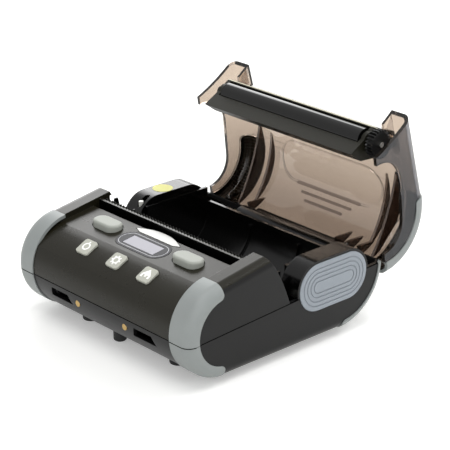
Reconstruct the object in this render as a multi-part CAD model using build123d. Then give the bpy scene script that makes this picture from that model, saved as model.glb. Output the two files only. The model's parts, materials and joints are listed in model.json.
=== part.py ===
from build123d import *
from math import asin, atan2, cos, degrees, pi, radians, sin, sqrt, tan
import os

# Portable thermal printer, lid open. Millimetres.
# While it is modelled: X to the right, Y from the front nose backwards, Z up from the table.
# The lid and everything on it are modelled shut, then turned open about the hinge.
# Every piece is moved at the end, so that the origin is under the middle of the open printer.

# Case outline seen from the side: a small nose circle, a larger tail circle, flat bottom
case_width = 117.0
bottom_height = 3.0
nose_radius = 21.0
tail_radius = 26.5
tail_centre_y = 89.5
corner_radius = 4.5
wall = 2.0
lid_wall = 1.8

# Sloping parting plane between the lower case and what stands on it
parting_height = 22.0
parting_slope = 0.0569
seam = 0.1

# Hinge
hinge_y = 112.5
hinge_z = 24.0
open_angle = 84.0
hinge_pin_radius = 1.25
hinge_pin_inner_end = 22.0
hinge_bar_half = 31.0
hinge_bar_radius = 5.6
hinge_lug_inner = 48.0
hinge_lug_width = 2.6
hinge_lug_radius = 2.8
running_gap = 0.05
swing_gap = 0.4

# Soft bumpers let into the corners
bumper_inner_x = 46.7
bumper_depth = 1.0
bumper_proud = 0.5
front_bumper_bore = 15.3
rear_bumper_bore = 22.6
lid_bumper_bore = 20.3

# Side towers with their rubber pads
tower_inner_x = 48.0
tower_front_y = 74.2
tower_rear_y = 93.0
tower_centre_z = 28.0
tower_rim = 1.2
pad_radius = 11.0
pad_depth = 1.0
pad_proud = 0.4
pad_groove_pitch = 2.0
pad_groove_width = 0.5
pad_groove_depth = 0.3

# Shoulder: where the front arms end and the lid begins, an arc seen from the side
shoulder_centre_y = -31.1
shoulder_centre_z = -3.5
shoulder_radius = 93.0
lid_gap = 0.6

# Control panel between the arms
panel_half = 48.1
panel_start_y = 3.0
panel_bend_y = 17.0
panel_bend_z = 42.1
panel_rear_y = 36.0
panel_tilt = 8.0
well_depth = 5.0
carrier_front_y = 39.4
carrier_rear_y = 41.0
carrier_top_z = 47.2
arm_inner_wall_rear = 45.6

# Keys and release buttons
key_size = 8.0
key_corner = 1.5
key_pitch = 20.5
key_y = 10.3
key_tilt = 27.0
key_proud = 0.5
key_travel = 0.6
key_gap = 0.25
key_flange = 1.0
release_x = 27.2
release_y = 27.5
release_length = 16.0
release_width = 8.5
release_top_z = 46.1
release_travel = 2.2
release_stem_radius = 2.0
release_stem_bottom = 37.0

# Display
display_y = 25.4
bezel_length = 31.0
bezel_width = 12.6
bezel_thick = 0.8
glass_length = 20.0
glass_width = 6.9
crescent_half = 14.5
crescent_far = 12.3

# Tear bar
tear_bar_half = 46.0
tear_bar_thick = 0.6
tear_bar_top = 47.9
tear_tooth_pitch = 2.0
tear_tooth_height = 0.9
strip_thick = 0.5

# Print roller on the lid, placed for the shut lid
roller_y = 55.3
roller_z = 33.6
roller_radius = 5.2
roller_half = 44.6
shaft_radius = 1.5
shaft_end_radius = 1.2
bush_radius = 2.5
bush_outer_x = 50.0
roller_frame_half = 47.6
roller_cheek = 2.2
roller_pocket_gap = 0.5

# Gear train on the right
gear_module = 0.5
gear_face_x = 50.3
gear_width = 3.4
platen_teeth = 24
idler_teeth = 22
drive_teeth = 24
pinion_teeth = 12
gear_backlash = 0.12
gear_pin_radius = 1.0
gear_train_angle = 200.0

# Paper tub
tub_half = 47.6
tub_wall = 1.6
tub_y = 82.4
tub_z = 29.5
tub_radius = 22.4
tub_front_rim_z = 19.8
tub_front_cut_y = 66.0
tub_end_top_z = 37.0

# Mechanism side plates and latch hooks
plate_x = 48.3
plate_thick = 0.8
hook_x = 49.2
hook_thick = 0.65
hook_pivot_y = 44.7
hook_pivot_z = 27.0
hook_rod_radius = 1.2
hook_rod_inner_x = 24.0

# Feet and the clip stud on the underside
foot_radius = 4.0
foot_x = 30.0
foot_front_y = 19.0
foot_rear_y = 92.0
foot_recess = 0.9
stud_radius = 3.0
stud_x = -4.0
stud_y = 14.5
stud_nut_radius = 4.2
stud_nut_z = 8.6

# Case screws
screw_x = 51.0
screw_front_y = 22.0
screw_rear_y = 86.0
screw_head_radius = 2.3
screw_shank_radius = 1.2
screw_boss_radius = 2.7
screw_boss_top = 15.0

# Battery, its door in the floor and the door's latch
battery_left_x = -47.0
battery_right_x = 26.0
battery_front_y = 26.0
battery_rear_y = 41.0
battery_bottom_z = 6.6
battery_top_z = 20.0
door_gap = 0.2
door_margin = 1.5
latch_x = -10.5
latch_pad_width = 12.0
latch_pad_depth = 4.0
latch_pad_rear_y = 39.6
latch_side_gap = 0.25
latch_travel = 3.0
latch_tongue_rear_y = 44.5

# Ports and charging contacts in the front
port_x = 28.4
port_z = 17.2
port_low_width = 15.0
port_high_width = 11.4
port_height = 4.6
contact_x = 16.1
contact_z = 17.5
contact_radius = 1.5

# Circuit boards
board_z = 20.7
board_thick = 1.5
board_half = 44.0
board_front_y = 6.5
board_step_y = 21.5
board_rear_y = 40.8
key_board_drop = 6.2

# Lid switch on the left tower
switch_x = 51.0
switch_y = 66.4
switch_radius = 1.1
switch_travel = 0.8
switch_slot_rear_y = 71.5
switch_slot_width = 2.8

# Torsion springs on the hinge pins
spring_wire = 0.5
spring_coil_radius = 1.85
spring_pitch = 1.0
spring_turns = 4
spring_start_x = 33.1
spring_lid_leg = 8.5
spring_lid_leg_lift = 12.0
spring_base_leg = 4.5

half = case_width / 2
nose_centre_y = nose_radius
nose_centre_z = bottom_height + nose_radius
tail_centre_z = bottom_height + tail_radius
STRIP_LOW = (50.0, 36.6)
STRIP_TOP = (51.9, 39.1)
HINGE = Vector(0, hinge_y, hinge_z)
ROLLER = Vector(0, roller_y, roller_z)


def side_face(edges):
    """Close edges drawn in (y, z) into a face on the YZ plane."""
    return Plane.YZ * make_face(edges)


def side_polygon(points):
    """Face on the YZ plane from (y, z) corners."""
    return Plane.YZ * make_face(Polyline(*points, close=True))


def slab(face, x_low, x_high):
    """Solid from a YZ face between two x values."""
    return extrude(Pos(x_low, 0, 0) * face, amount=x_high - x_low)


def both_sides(solid):
    """The solid and its mirror image in the middle plane."""
    return [solid, mirror(solid, about=Plane.YZ)]


def rod(y, z, radius, x_low, x_high):
    """Round bar along X."""
    length = x_high - x_low
    return Pos((x_low + x_high) / 2, y, z) * Rot(0, 90, 0) * Cylinder(radius, length)


def bar(x_low, x_high, y_low, y_high, z_low, z_high):
    """Box between two corners."""
    size = (x_high - x_low, y_high - y_low, z_high - z_low)
    centre = ((x_low + x_high) / 2, (y_low + y_high) / 2, (z_low + z_high) / 2)
    return Pos(*centre) * Box(*size)


def upper_tangent():
    """Angle of the straight top line that touches the nose and tail circles."""
    run = tail_centre_y - nose_centre_y
    rise = tail_centre_z - nose_centre_z
    return atan2(rise, run) + asin((tail_radius - nose_radius) / sqrt(run**2 + rise**2))


def top_height(y):
    """Height of the straight part of the case top at y."""
    slope = upper_tangent()
    start_y = nose_centre_y - nose_radius * sin(slope)
    start_z = nose_centre_z + nose_radius * cos(slope)
    return start_z + tan(slope) * (y - start_y)


def side_outline(grow):
    """Side outline of the whole shut printer, grown outwards by the given amount."""
    slope = upper_tangent()
    small = nose_radius + grow
    large = tail_radius + grow
    low = bottom_height - grow
    nose_top = (nose_centre_y - small * sin(slope), nose_centre_z + small * cos(slope))
    tail_top = (tail_centre_y - large * sin(slope), tail_centre_z + large * cos(slope))
    edges = Line((nose_centre_y, low), (tail_centre_y, low))
    edges += ThreePointArc((tail_centre_y, low), (tail_centre_y + large, tail_centre_z), tail_top)
    edges += Line(tail_top, nose_top)
    edges += ThreePointArc(nose_top, (nose_centre_y - small, nose_centre_z), (nose_centre_y, low))
    return side_face(edges)


def pillow(grow):
    """Whole shut case as one rounded solid, grown by the given amount."""
    reach = half + grow
    body = slab(side_outline(grow), -reach, reach)
    rims = body.edges().filter_by(lambda edge: abs(abs(edge.center().X) - reach) < 0.001)
    return fillet(rims, corner_radius + grow)


def parting_at(y):
    return parting_height + parting_slope * y


def below_parting(lift=0.0):
    """Everything under the parting plane."""
    low, high, depth = -20.0, 150.0, -30.0
    points = [(low, depth), (high, depth), (high, parting_at(high) + lift), (low, parting_at(low) + lift)]
    return slab(side_polygon(points), -90, 90)


def above_parting(lift=0.0):
    """Everything over the parting plane."""
    low, high, top = -20.0, 150.0, 120.0
    points = [(low, parting_at(low) + lift), (high, parting_at(high) + lift), (high, top), (low, top)]
    return slab(side_polygon(points), -90, 90)


def stadium(radius, x_low, x_high, front=tower_front_y, rear=tower_rear_y):
    """Prism along X with the pad's outline."""
    face = Plane.YZ * (Pos((front + rear) / 2, tower_centre_z) * SlotCenterToCenter(rear - front, 2 * radius))
    return slab(face, x_low, x_high)


def shoulder(grow, x_low, x_high):
    """Prism in front of the shoulder arc."""
    return rod(shoulder_centre_y, shoulder_centre_z, shoulder_radius + grow, x_low, x_high)


def hinge_rod(radius, x_low, x_high):
    return rod(hinge_y, hinge_z, radius, x_low, x_high)


def bumper_band(centre_y, centre_z, bore, start, end, end_radius):
    """Prism outside a bore, over an angle range, with rounded ends."""
    outer = bore + 16.0
    mid = radians((start + end) / 2)
    first, last = radians(start), radians(end)

    def at(radius, angle):
        return (centre_y + radius * cos(angle), centre_z + radius * sin(angle))

    edges = Line(at(bore, first), at(outer, first))
    edges += ThreePointArc(at(outer, first), at(outer, mid), at(outer, last))
    edges += Line(at(outer, last), at(bore, last))
    edges += ThreePointArc(at(bore, last), at(bore, mid), at(bore, first))
    band = slab(side_face(edges), bumper_inner_x, half + 5)
    ends = band.edges().filter_by(Axis.X)
    inner = [edge for edge in ends if (edge.center() - Vector(edge.center().X, centre_y, centre_z)).length < bore + 1]
    return fillet(inner, end_radius)


def gear(teeth, centre, phase, bore, x_low=gear_face_x, width=gear_width):
    """Spur gear with straight-sided tapered teeth, its axis along X."""
    pitch = gear_module * teeth / 2
    tip = pitch + gear_module * 0.95
    root = pitch - gear_module * 1.2
    step = 2 * pi / teeth
    points = []
    for index in range(teeth):
        middle = radians(phase) + index * step
        for radius, share in ((root, -0.36), (tip, -0.12), (tip, 0.12), (root, 0.36)):
            angle = middle + share * step
            points.append((centre[0] + radius * cos(angle), centre[1] + radius * sin(angle)))
    wheel = slab(side_polygon(points), x_low, x_low + width)
    return wheel - rod(centre[0], centre[1], bore, x_low - 1, x_low + width + 1)


OUTER = pillow(0.0)
INNER = pillow(-wall)
LID_INNER = pillow(-lid_wall)
PROUD = pillow(bumper_proud)
BUMPER_FLOOR = pillow(-bumper_depth)
FRONT_BAND = bumper_band(nose_centre_y, nose_centre_z, front_bumper_bore, 96, 266, 2.2)
REAR_BAND = bumper_band(tail_centre_y, tail_centre_z, rear_bumper_bore, -88, 0, 1.6)
LID_BAND = bumper_band(tail_centre_y, tail_centre_z, lid_bumper_bore, -4, 96, 2.2)


def bumper(band, half_space):
    """Corner bumper: a skin that fills the band and stands proud of the case."""
    return (band & (PROUD - BUMPER_FLOOR)) & half_space


def bumper_pocket(band):
    """Space that a corner bumper takes out of the case, on the right."""
    return band - BUMPER_FLOOR


def without_bumpers(solid, band):
    for pocket in both_sides(bumper_pocket(band)):
        solid -= pocket
    return solid


# What the lid sweeps behind and above the hinge has to stay clear of the base
lid_edge_radius = 5.3
base_edge_radius = lid_edge_radius - swing_gap
REAR_CORNER = bar(-70, 70, hinge_y, hinge_y + 12, hinge_z, hinge_z + 8) - hinge_rod(base_edge_radius, -80, 80)


def lower_case():
    shell = (OUTER & below_parting()) - INNER
    shell = without_bumpers(shell, FRONT_BAND)
    shell = without_bumpers(shell, REAR_BAND)
    shell -= REAR_CORNER
    notch_half = hinge_bar_half + 2.4
    shell -= hinge_rod(hinge_bar_radius + swing_gap, -notch_half, notch_half)
    shell -= bar(-notch_half, notch_half, hinge_y, hinge_y + 12, hinge_z - 2.5, hinge_z + 9)
    lug_end = hinge_lug_inner + hinge_lug_width
    for side in both_sides(hinge_rod(hinge_lug_radius + seam, hinge_lug_inner - seam, lug_end + seam)):
        shell -= side
    for side in both_sides(hinge_rod(2.3, notch_half - 1, hinge_lug_inner)):
        shell -= side
    for side in both_sides(stadium(pad_radius + seam, half - pad_depth - seam, half + 5)):
        shell -= side
    for side in both_sides(spring_ledge()):
        shell += side
    floor_top = bottom_height + wall
    for x, y in screw_places():
        tall = screw_boss_top - floor_top + 0.2
        shell += Pos(x, y, (floor_top + screw_boss_top) / 2) * Cylinder(screw_boss_radius, tall)
        shell -= Pos(x, y, 0) * Cylinder(screw_head_radius + 0.2, 2 * (bottom_height + 1.8))
        shell -= Pos(x, y, 0) * Cylinder(screw_shank_radius + 0.05, 40)
    for x, y in foot_places():
        shell -= Pos(x, y, 0) * Cylinder(foot_radius + seam, 2 * (bottom_height + foot_recess + seam))
    shell -= Pos(stud_x, stud_y, 0) * Cylinder(stud_radius + seam, 30)
    shell -= floor_lid(door_gap)
    for x in (-port_x, port_x):
        shell -= port_opening(x, 0, -5, 12)
    for x in (-contact_x, contact_x):
        shell -= Pos(x, 4, contact_z) * Rot(90, 0, 0) * Cylinder(contact_radius + 0.05, 10)
    return shell


def screw_places():
    return [(side * screw_x, y) for side in (-1, 1) for y in (screw_front_y, screw_rear_y)]


def foot_places():
    return [(side * foot_x, y) for side in (-1, 1) for y in (foot_front_y, foot_rear_y)]


def case_screws():
    screws = []
    for x, y in screw_places():
        head = Pos(x, y, bottom_height + 1.0) * Cylinder(screw_head_radius, 1.4)
        shank = Pos(x, y, bottom_height + 1.7 + 4.0) * Cylinder(screw_shank_radius, 8.0)
        drive = Pos(x, y, bottom_height + 0.3) * Box(2.6, 0.6, 1.0) + Pos(x, y, bottom_height + 0.3) * Box(0.6, 2.6, 1.0)
        screws.append(head + shank - drive)
    return compound(screws)


def rubber_feet():
    feet = []
    for x, y in foot_places():
        top = bottom_height + foot_recess
        foot = Pos(x, y, top / 2) * Cylinder(foot_radius, top)
        foot = fillet(foot.edges().sort_by(Axis.Z)[0], 0.6)
        feet.append(foot)
    return compound(feet)


def clip_stud():
    body = Pos(stud_x, stud_y, stud_nut_z / 2) * Cylinder(stud_radius, stud_nut_z)
    body = fillet(body.edges().sort_by(Axis.Z)[0], 1.0)
    return body + Pos(stud_x, stud_y, stud_nut_z + 0.6) * Cylinder(stud_nut_radius, 1.2)


def floor_lid(grow):
    """Battery door outline through the floor."""
    left = battery_left_x + 2 * door_margin
    right = battery_right_x - 2 * door_margin
    front = battery_front_y - door_margin
    rear = battery_rear_y + door_margin
    shape = RectangleRounded(right - left + 2 * grow, rear - front + 2 * grow, 3)
    return extrude(Pos((left + right) / 2, (front + rear) / 2, bottom_height) * shape, amount=wall)


def battery_door():
    plate = floor_lid(0)
    floor_top = bottom_height + wall
    hole_half = latch_pad_width / 2 + latch_side_gap
    hole_front = latch_pad_rear_y - latch_pad_depth - latch_travel - latch_side_gap
    hole_rear = latch_pad_rear_y + latch_side_gap
    plate -= bar(latch_x - hole_half, latch_x + hole_half, hole_front, hole_rear, 0, 20)
    front = battery_front_y - door_margin
    for x in (-34.0, 13.0):
        riser = bar(x - 3, x + 3, front + 0.6, front + 2.0, floor_top - 0.5, floor_top + 1.1)
        hook = bar(x - 3, x + 3, front - 1.6, front + 2.0, floor_top + 0.1, floor_top + 1.1)
        plate += riser + hook
    for index in range(5):
        x = battery_left_x + 8 + index * 1.8
        plate -= bar(x, x + 0.8, front + 5, battery_rear_y - 4, bottom_height - 1, bottom_height + 0.5)
    return plate


def battery_latch():
    """Slider in the door: a ribbed thumb pad, a flange above the door and a tongue over the floor."""
    floor_top = bottom_height + wall
    half_pad = latch_pad_width / 2
    pad_front = latch_pad_rear_y - latch_pad_depth
    slider = bar(latch_x - half_pad, latch_x + half_pad, pad_front, latch_pad_rear_y, bottom_height + 0.2, floor_top + 0.2)
    for index in range(-3, 4):
        x = latch_x + index * 1.5
        slider -= bar(x - 0.3, x + 0.3, pad_front - 1, latch_pad_rear_y + 1, 0, bottom_height + 0.6)
    flange = bar(latch_x - 8, latch_x + 8, pad_front - 1.8, latch_pad_rear_y + 1.8, floor_top + 0.15, floor_top + 1.1)
    tongue = bar(latch_x - 4, latch_x + 4, latch_pad_rear_y, latch_tongue_rear_y, floor_top + 0.15, floor_top + 1.1)
    return slider + flange + tongue


def battery_pack():
    block = bar(battery_left_x, battery_right_x, battery_front_y, battery_rear_y, battery_bottom_z, battery_top_z)
    return fillet(block.edges().filter_by(Axis.X), 1.5)


def port_opening(x, grow, low_y, high_y):
    """Trapezoid through the front wall."""
    low, high = port_low_width / 2 + grow, port_high_width / 2 + grow
    rise = port_height / 2 + grow
    corners = [(-low, -rise), (low, -rise), (high, rise), (-high, rise)]
    face = make_face(Polyline(*[(x + across, low_y, port_z + up) for across, up in corners], close=True))
    return extrude(face, amount=high_y - low_y, dir=(0, 1, 0))


def port_sockets():
    sockets = []
    for x in (-port_x, port_x):
        block = bar(x - 8.2, x + 8.2, 6.6, 13.6, port_z - 3.6, board_z - seam)
        block -= port_opening(x, -0.4, 6, 12)
        tongue = bar(x - 4.4, x + 4.4, 8.0, 12.1, port_z - 0.5, port_z + 0.5)
        sockets.append(block + tongue)
    return compound(sockets)


def charge_contacts():
    contacts = []
    for x in (-contact_x, contact_x):
        pin = Pos(x, 4.6, contact_z) * Rot(90, 0, 0) * Cylinder(contact_radius, 7.4)
        collar = Pos(x, 6.6, contact_z) * Rot(90, 0, 0) * Cylinder(contact_radius + 0.9, 1.2)
        post = bar(x - 1.0, x + 1.0, 6.9, 8.3, contact_z, board_z - seam)
        contacts.append(pin + collar + post)
    return compound(contacts)


def main_board():
    outline = Polyline(
        (-board_half, board_front_y),
        (board_half, board_front_y),
        (board_half, board_step_y),
        (battery_right_x + 1, board_step_y),
        (battery_right_x + 1, board_rear_y),
        (-board_half, board_rear_y),
        close=True,
    )
    board = extrude(Pos(0, 0, board_z) * make_face(outline), amount=board_thick)
    top = board_z + board_thick
    for x, y, length, depth, tall in ((-24, 30, 14, 14, 1.6), (4, 31, 10, 10, 1.4), (-6, 15, 18, 4, 3.2), (20, 14, 6, 6, 2.4)):
        board += Pos(x, y, top + tall / 2) * Box(length, depth, tall)
    return board


def key_board():
    """Tilted board with three click switches under the keys."""
    low = -key_board_drop
    board = extrude(key_place(0) * (Pos(0, 0, low - 1.0) * Rectangle(58, 9)), amount=1.0)
    for x in (-key_pitch, 0, key_pitch):
        board += extrude(key_place(x) * (Pos(0, 0, low) * Rectangle(4.5, 4.5)), amount=key_board_drop - 4.0 - key_travel - 0.3)
    return board


def upper_case():
    shell = (OUTER & above_parting(seam) & shoulder(0, -80, 80)) - INNER
    drop = nose_centre_z + sqrt(nose_radius**2 - (nose_centre_y - panel_start_y) ** 2)
    rear_z = panel_bend_z + (panel_rear_y - panel_bend_y) * tan(radians(panel_tilt))
    mid = ((panel_start_y + panel_bend_y) / 2 - 0.5, (drop + panel_bend_z) / 2 + 1.0)
    cut = ThreePointArc((panel_start_y, drop), mid, (panel_bend_y, panel_bend_z))
    cut += Polyline(
        (panel_bend_y, panel_bend_z),
        (panel_rear_y, rear_z),
        (panel_rear_y, 20),
        (80, 20),
        (80, 80),
        (-5, 80),
        (-5, drop),
        (panel_start_y, drop),
    )
    shell -= slab(side_face(cut), -panel_half, panel_half)
    low = wall
    well_z = rear_z - well_depth
    plate = ThreePointArc((panel_start_y, drop), mid, (panel_bend_y, panel_bend_z))
    plate += Polyline(
        (panel_bend_y, panel_bend_z),
        (panel_rear_y, rear_z),
        (panel_rear_y, well_z),
        (carrier_front_y, well_z),
        (carrier_front_y, carrier_top_z),
        (carrier_rear_y, carrier_top_z),
        (carrier_rear_y, well_z - low),
        (panel_rear_y - low, well_z - low),
        (panel_rear_y - low, rear_z - low - 0.3),
        (panel_bend_y, panel_bend_z - low),
    )
    plate += ThreePointArc(
        (panel_bend_y, panel_bend_z - low), (mid[0] + 1.2, mid[1] - low), (panel_start_y + 1.6, drop - 1.6)
    )
    plate += Line((panel_start_y + 1.6, drop - 1.6), (panel_start_y, drop))
    panel = slab(side_face(plate), -panel_half, panel_half) & OUTER
    shell += panel
    wall_cut = Polyline(
        (panel_bend_y - 8, 36),
        (arm_inner_wall_rear, 36),
        (arm_inner_wall_rear, 60),
        (panel_start_y, 60),
        (panel_start_y, drop - 2),
        close=True,
    )
    inner_wall = slab(side_face(wall_cut), panel_half, panel_half + wall) & OUTER & shoulder(0, -80, 80)
    for side in both_sides(inner_wall):
        shell += side
    for x in (-key_pitch, 0, key_pitch):
        shell -= key_prism(x, key_size + 2 * key_gap, -8, 8, key_corner + key_gap)
    for x in (-release_x, release_x):
        hole = SlotOverall(release_length + 0.7, release_width + 0.7)
        shell -= extrude(Pos(x, release_y, 30) * hole, amount=30)
    shell -= bezel_plate(seam, -bezel_thick - seam, 3)
    shell -= crescent(2 * seam, -0.5, 3)
    for x in (-key_pitch / 2, key_pitch / 2):
        post = Circle(1.6)
        shell += extrude(key_place(x) * (Pos(0, 0, -key_board_drop + seam) * post), amount=key_board_drop - 1.0)
    return without_bumpers(shell, FRONT_BAND)


def key_place(x):
    """Plane on a key's top rest face."""
    drop = nose_centre_z + sqrt(nose_radius**2 - (nose_centre_y - panel_start_y) ** 2)
    z = drop + (panel_bend_z - drop) * 0.735
    return Plane(origin=(x, key_y, z), x_dir=(1, 0, 0), z_dir=(0, -sin(radians(key_tilt)), cos(radians(key_tilt))))


def key_prism(x, size, low, high, corner):
    base = RectangleRounded(size, size, corner)
    return extrude(key_place(x) * (Pos(0, 0, low) * base), amount=high - low)


def key(x):
    cap = key_prism(x, key_size, -3.2, key_proud, key_corner)
    top = cap.faces().sort_by(Axis.Z)[-1]
    cap = fillet(top.edges(), 0.35)
    flange = key_prism(x, key_size + 2 * key_flange, -4.0, -3.2, key_corner)
    return cap + flange


def release_button(x):
    cap = extrude(Pos(x, release_y, 40.6) * SlotOverall(release_length, release_width), amount=release_top_z - 40.6)
    cap = fillet(cap.faces().sort_by(Axis.Z)[-1].edges(), 1.2)
    flange = extrude(Pos(x, release_y, 39.4) * SlotOverall(release_length + 2.4, release_width + 2.0), amount=1.2)
    stem = Pos(x, release_y, (39.4 + release_stem_bottom) / 2) * Cylinder(release_stem_radius, 39.4 - release_stem_bottom)
    return cap + flange + stem


def panel_plane():
    z = panel_bend_z + (display_y - panel_bend_y) * tan(radians(panel_tilt))
    tilt = radians(panel_tilt)
    return Plane(origin=(0, display_y, z), x_dir=(1, 0, 0), z_dir=(0, -sin(tilt), cos(tilt)))


def lcd_bezel():
    plate = bezel_plate(0, -bezel_thick, 0.1)
    return plate - glass_plate(seam, -0.4, 2)


def glass_plate(grow, low, high):
    shape = Rectangle(glass_length + 2 * grow, glass_width + 2 * grow)
    return extrude(panel_plane() * (Pos(0, 0, low) * shape), amount=high - low)


def bezel_plate(grow, low, high):
    shape = SlotOverall(bezel_length + 2 * grow, bezel_width + 2 * grow)
    return extrude(panel_plane() * (Pos(0, 0, low) * shape), amount=high - low)


def crescent(grow, low, high):
    """Bare bright trim behind the display: a lens shape between two arcs."""
    reach = crescent_half + 2 * grow
    corner = bezel_width / 2 + 2.1
    near = bezel_width / 2 + 0.7 - grow
    far = crescent_far + grow
    edges = ThreePointArc((-reach, corner), (0, far), (reach, corner))
    edges += Line((reach, corner), (reach - 3.5, near))
    edges += Line((reach - 3.5, near), (3.5 - reach, near))
    edges += Line((3.5 - reach, near), (-reach, corner))
    return extrude(panel_plane() * (Pos(0, 0, low) * make_face(edges)), amount=high - low)


def tower():
    """Right side tower: a hollow box that carries the pad and the hinge lug."""
    outer = stadium(pad_radius + tower_rim, tower_inner_x, half)
    outer = outer & above_parting(seam)
    hollow = stadium(pad_radius + tower_rim - wall, tower_inner_x + wall, half - wall)
    body = outer - hollow
    body -= stadium(pad_radius + seam, half - pad_depth - seam, half + 5)
    lug_end = hinge_lug_inner + hinge_lug_width
    root_y = tower_rear_y + pad_radius + tower_rim - 3.0
    lug = slab(
        Plane.YZ * make_hull([Pos(root_y, tower_centre_z + 2.4) * Circle(2.6).edge(), Pos(hinge_y, hinge_z) * Circle(hinge_lug_radius).edge()]),
        hinge_lug_inner,
        lug_end,
    )
    body += lug
    return body - hinge_rod(hinge_pin_radius, hinge_lug_inner - 1, lug_end + 1)


def switch_slot():
    """Slot in the left tower's roof for the lid switch."""
    front = switch_y - switch_radius - 0.6
    length = switch_slot_rear_y - front
    shape = Rot(0, 0, 90) * SlotOverall(length, switch_slot_width)
    return extrude(Pos(-switch_x, (front + switch_slot_rear_y) / 2, 32) * shape, amount=20)


def cover_switch():
    """Round white plunger on a small switch body."""
    top = tower_centre_z + sqrt((pad_radius + tower_rim) ** 2 - (tower_front_y - switch_y) ** 2) + switch_travel
    return Pos(-switch_x, switch_y, top - 2.4) * Cylinder(switch_radius, 4.8)


def switch_body():
    floor_z = tower_centre_z - 1.5
    top_z = tower_centre_z + 4.3
    return bar(-switch_x - 2.6, -switch_x + 1.0, switch_y - 1.6, switch_y + 6.0, floor_z, top_z)


def pad():
    skin = stadium(pad_radius, half - pad_depth, half + pad_proud)
    outer_face = skin.faces().sort_by(Axis.X)[-1]
    skin = fillet(outer_face.edges(), 0.3)
    for ring in range(1, 5):
        reach = pad_radius - ring * pad_groove_pitch
        groove = stadium(reach, half + pad_proud - pad_groove_depth, half + 3)
        groove -= stadium(reach - pad_groove_width, half, half + 4)
        skin -= groove
    return skin


def paper_tub():
    trough = rod(tub_y, tub_z, tub_radius + tub_wall, -tub_half, tub_half)
    trough &= bar(-60, 60, 0, 130, 0, tub_z)
    box_top = bar(-tub_half, tub_half, tub_front_cut_y, tub_y + tub_radius - 1.0, tub_z, tub_end_top_z)
    inner = tub_half - tub_wall
    body = trough + box_top
    body -= rod(tub_y, tub_z, tub_radius, -inner, inner)
    body -= bar(-inner, inner, 0, 130, tub_z - 0.01, 80)
    body -= bar(-60, 60, 0, tub_front_cut_y, tub_front_rim_z, 80)
    for x in (-16.0, 16.0):
        rib = rod(tub_y, tub_z, tub_radius + 0.5, x - 0.6, x + 0.6) - rod(tub_y, tub_z, tub_radius - 1.2, x - 1, x + 1)
        rib &= bar(-60, 60, tub_y, 130, 0, tub_z - 3)
        body += rib
    return body


def mechanism_frame():
    """Steel chassis: front wall, floor and two side plates with the roller's seats."""
    reach = plate_x + plate_thick
    inner = plate_x - 0.6
    front = bar(-inner, inner, 41.9, 42.7, 17.6, 44.6) + bar(-plate_x, plate_x, 41.9, 42.7, 17.6, 23.0)
    for x in (-release_x, release_x):
        front -= bar(x - 2.6, x + 2.6, 40, 44, 24.5, 38.0)
    shelf = bar(-plate_x, plate_x, 41.9, 59.6, 17.6, 18.6)
    plate = side_polygon([(41.8, 5.2), (60.6, 5.2), (60.6, 36.4), (49.6, 36.4), (41.8, 24.5)])
    plate = slab(plate, plate_x, reach)
    motor_plate = slab(side_polygon([(24.3, 5.2), (42, 5.2), (42, 24.5), (26.5, 24.0), (24.3, 21.0)]), plate_x, reach)
    path = Vector(0, hinge_z - roller_z, roller_y - hinge_y).normalized()
    rise = Vector(0, path.Y, path.Z) * -1
    lean = degrees(atan2(-rise.Y, rise.Z))
    slot = Pos(plate_x + 0.4, roller_y, roller_z) * Rot(lean, 0, 0) * (
        Pos(0, 0, 6) * Box(4, 2 * bush_radius + 0.6, 12)
    )
    seat = rod(roller_y, roller_z, bush_radius + 0.3, plate_x - 1, reach + 1)
    sides = both_sides(plate - slot - seat)
    body = front + shelf + sides[0] + sides[1] + motor_plate
    for side in both_sides(bar(30.5, 31.6, 42.2, 46.2, 24.4, 30.0)):
        body += side
    body -= rod(MOTOR[0], MOTOR[1], 3.4, plate_x - 1, reach + 1)
    for centre in (DRIVE, IDLER):
        body -= rod(centre[0], centre[1], gear_pin_radius, plate_x - 1, reach + 1)
    for side in both_sides(rod(hook_pivot_y, hook_pivot_z, hook_rod_radius + running_gap, 30, reach + 1)):
        body -= side
    return body


def away(start, distance, angle):
    return (start[0] + distance * cos(radians(angle)), start[1] + distance * sin(radians(angle)))


def mesh_phase(teeth_driver, phase_driver, teeth_driven, direction):
    """Phase that puts a gap of the driven gear opposite a tooth of its driver."""
    driver_step = 360 / teeth_driver
    driven_step = 360 / teeth_driven
    return direction + 180 - driven_step * ((phase_driver - direction) / driver_step + 0.5)


def gear_distance(teeth_one, teeth_two):
    return gear_module * (teeth_one + teeth_two) / 2 + gear_backlash


# Gear centres: the idler lies straight under the shut roller, along the lid's path
swing_angle = degrees(atan2(roller_z - hinge_z, roller_y - hinge_y)) + 90
IDLER = away((roller_y, roller_z), gear_distance(platen_teeth, idler_teeth), swing_angle)
DRIVE = away(IDLER, gear_distance(idler_teeth, drive_teeth), gear_train_angle)
MOTOR = away(DRIVE, gear_distance(drive_teeth, pinion_teeth), gear_train_angle)
idler_phase = mesh_phase(platen_teeth, swing_angle, idler_teeth, swing_angle)
drive_phase = mesh_phase(idler_teeth, idler_phase, drive_teeth, gear_train_angle)
pinion_phase = mesh_phase(drive_teeth, drive_phase, pinion_teeth, gear_train_angle)

motor_radius = 8.2
motor_length = 19.0


def stepper_motor():
    body = rod(MOTOR[0], MOTOR[1], motor_radius, plate_x - seam - motor_length, plate_x - seam)
    boss = rod(MOTOR[0], MOTOR[1], 3.2, plate_x - seam, plate_x + plate_thick)
    return body + boss - rod(MOTOR[0], MOTOR[1], gear_pin_radius + running_gap, plate_x - 6, plate_x + 3)


def thermal_head():
    sink = bar(-42, 42, 46.7, 48.2, 21.5, 40.0)
    board = bar(-41, 41, 48.2, 49.2, 25.0, 37.4)
    line = bar(-40.5, 40.5, 49.2, 49.8, 30.6, 35.6)
    return sink + board + line


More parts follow.
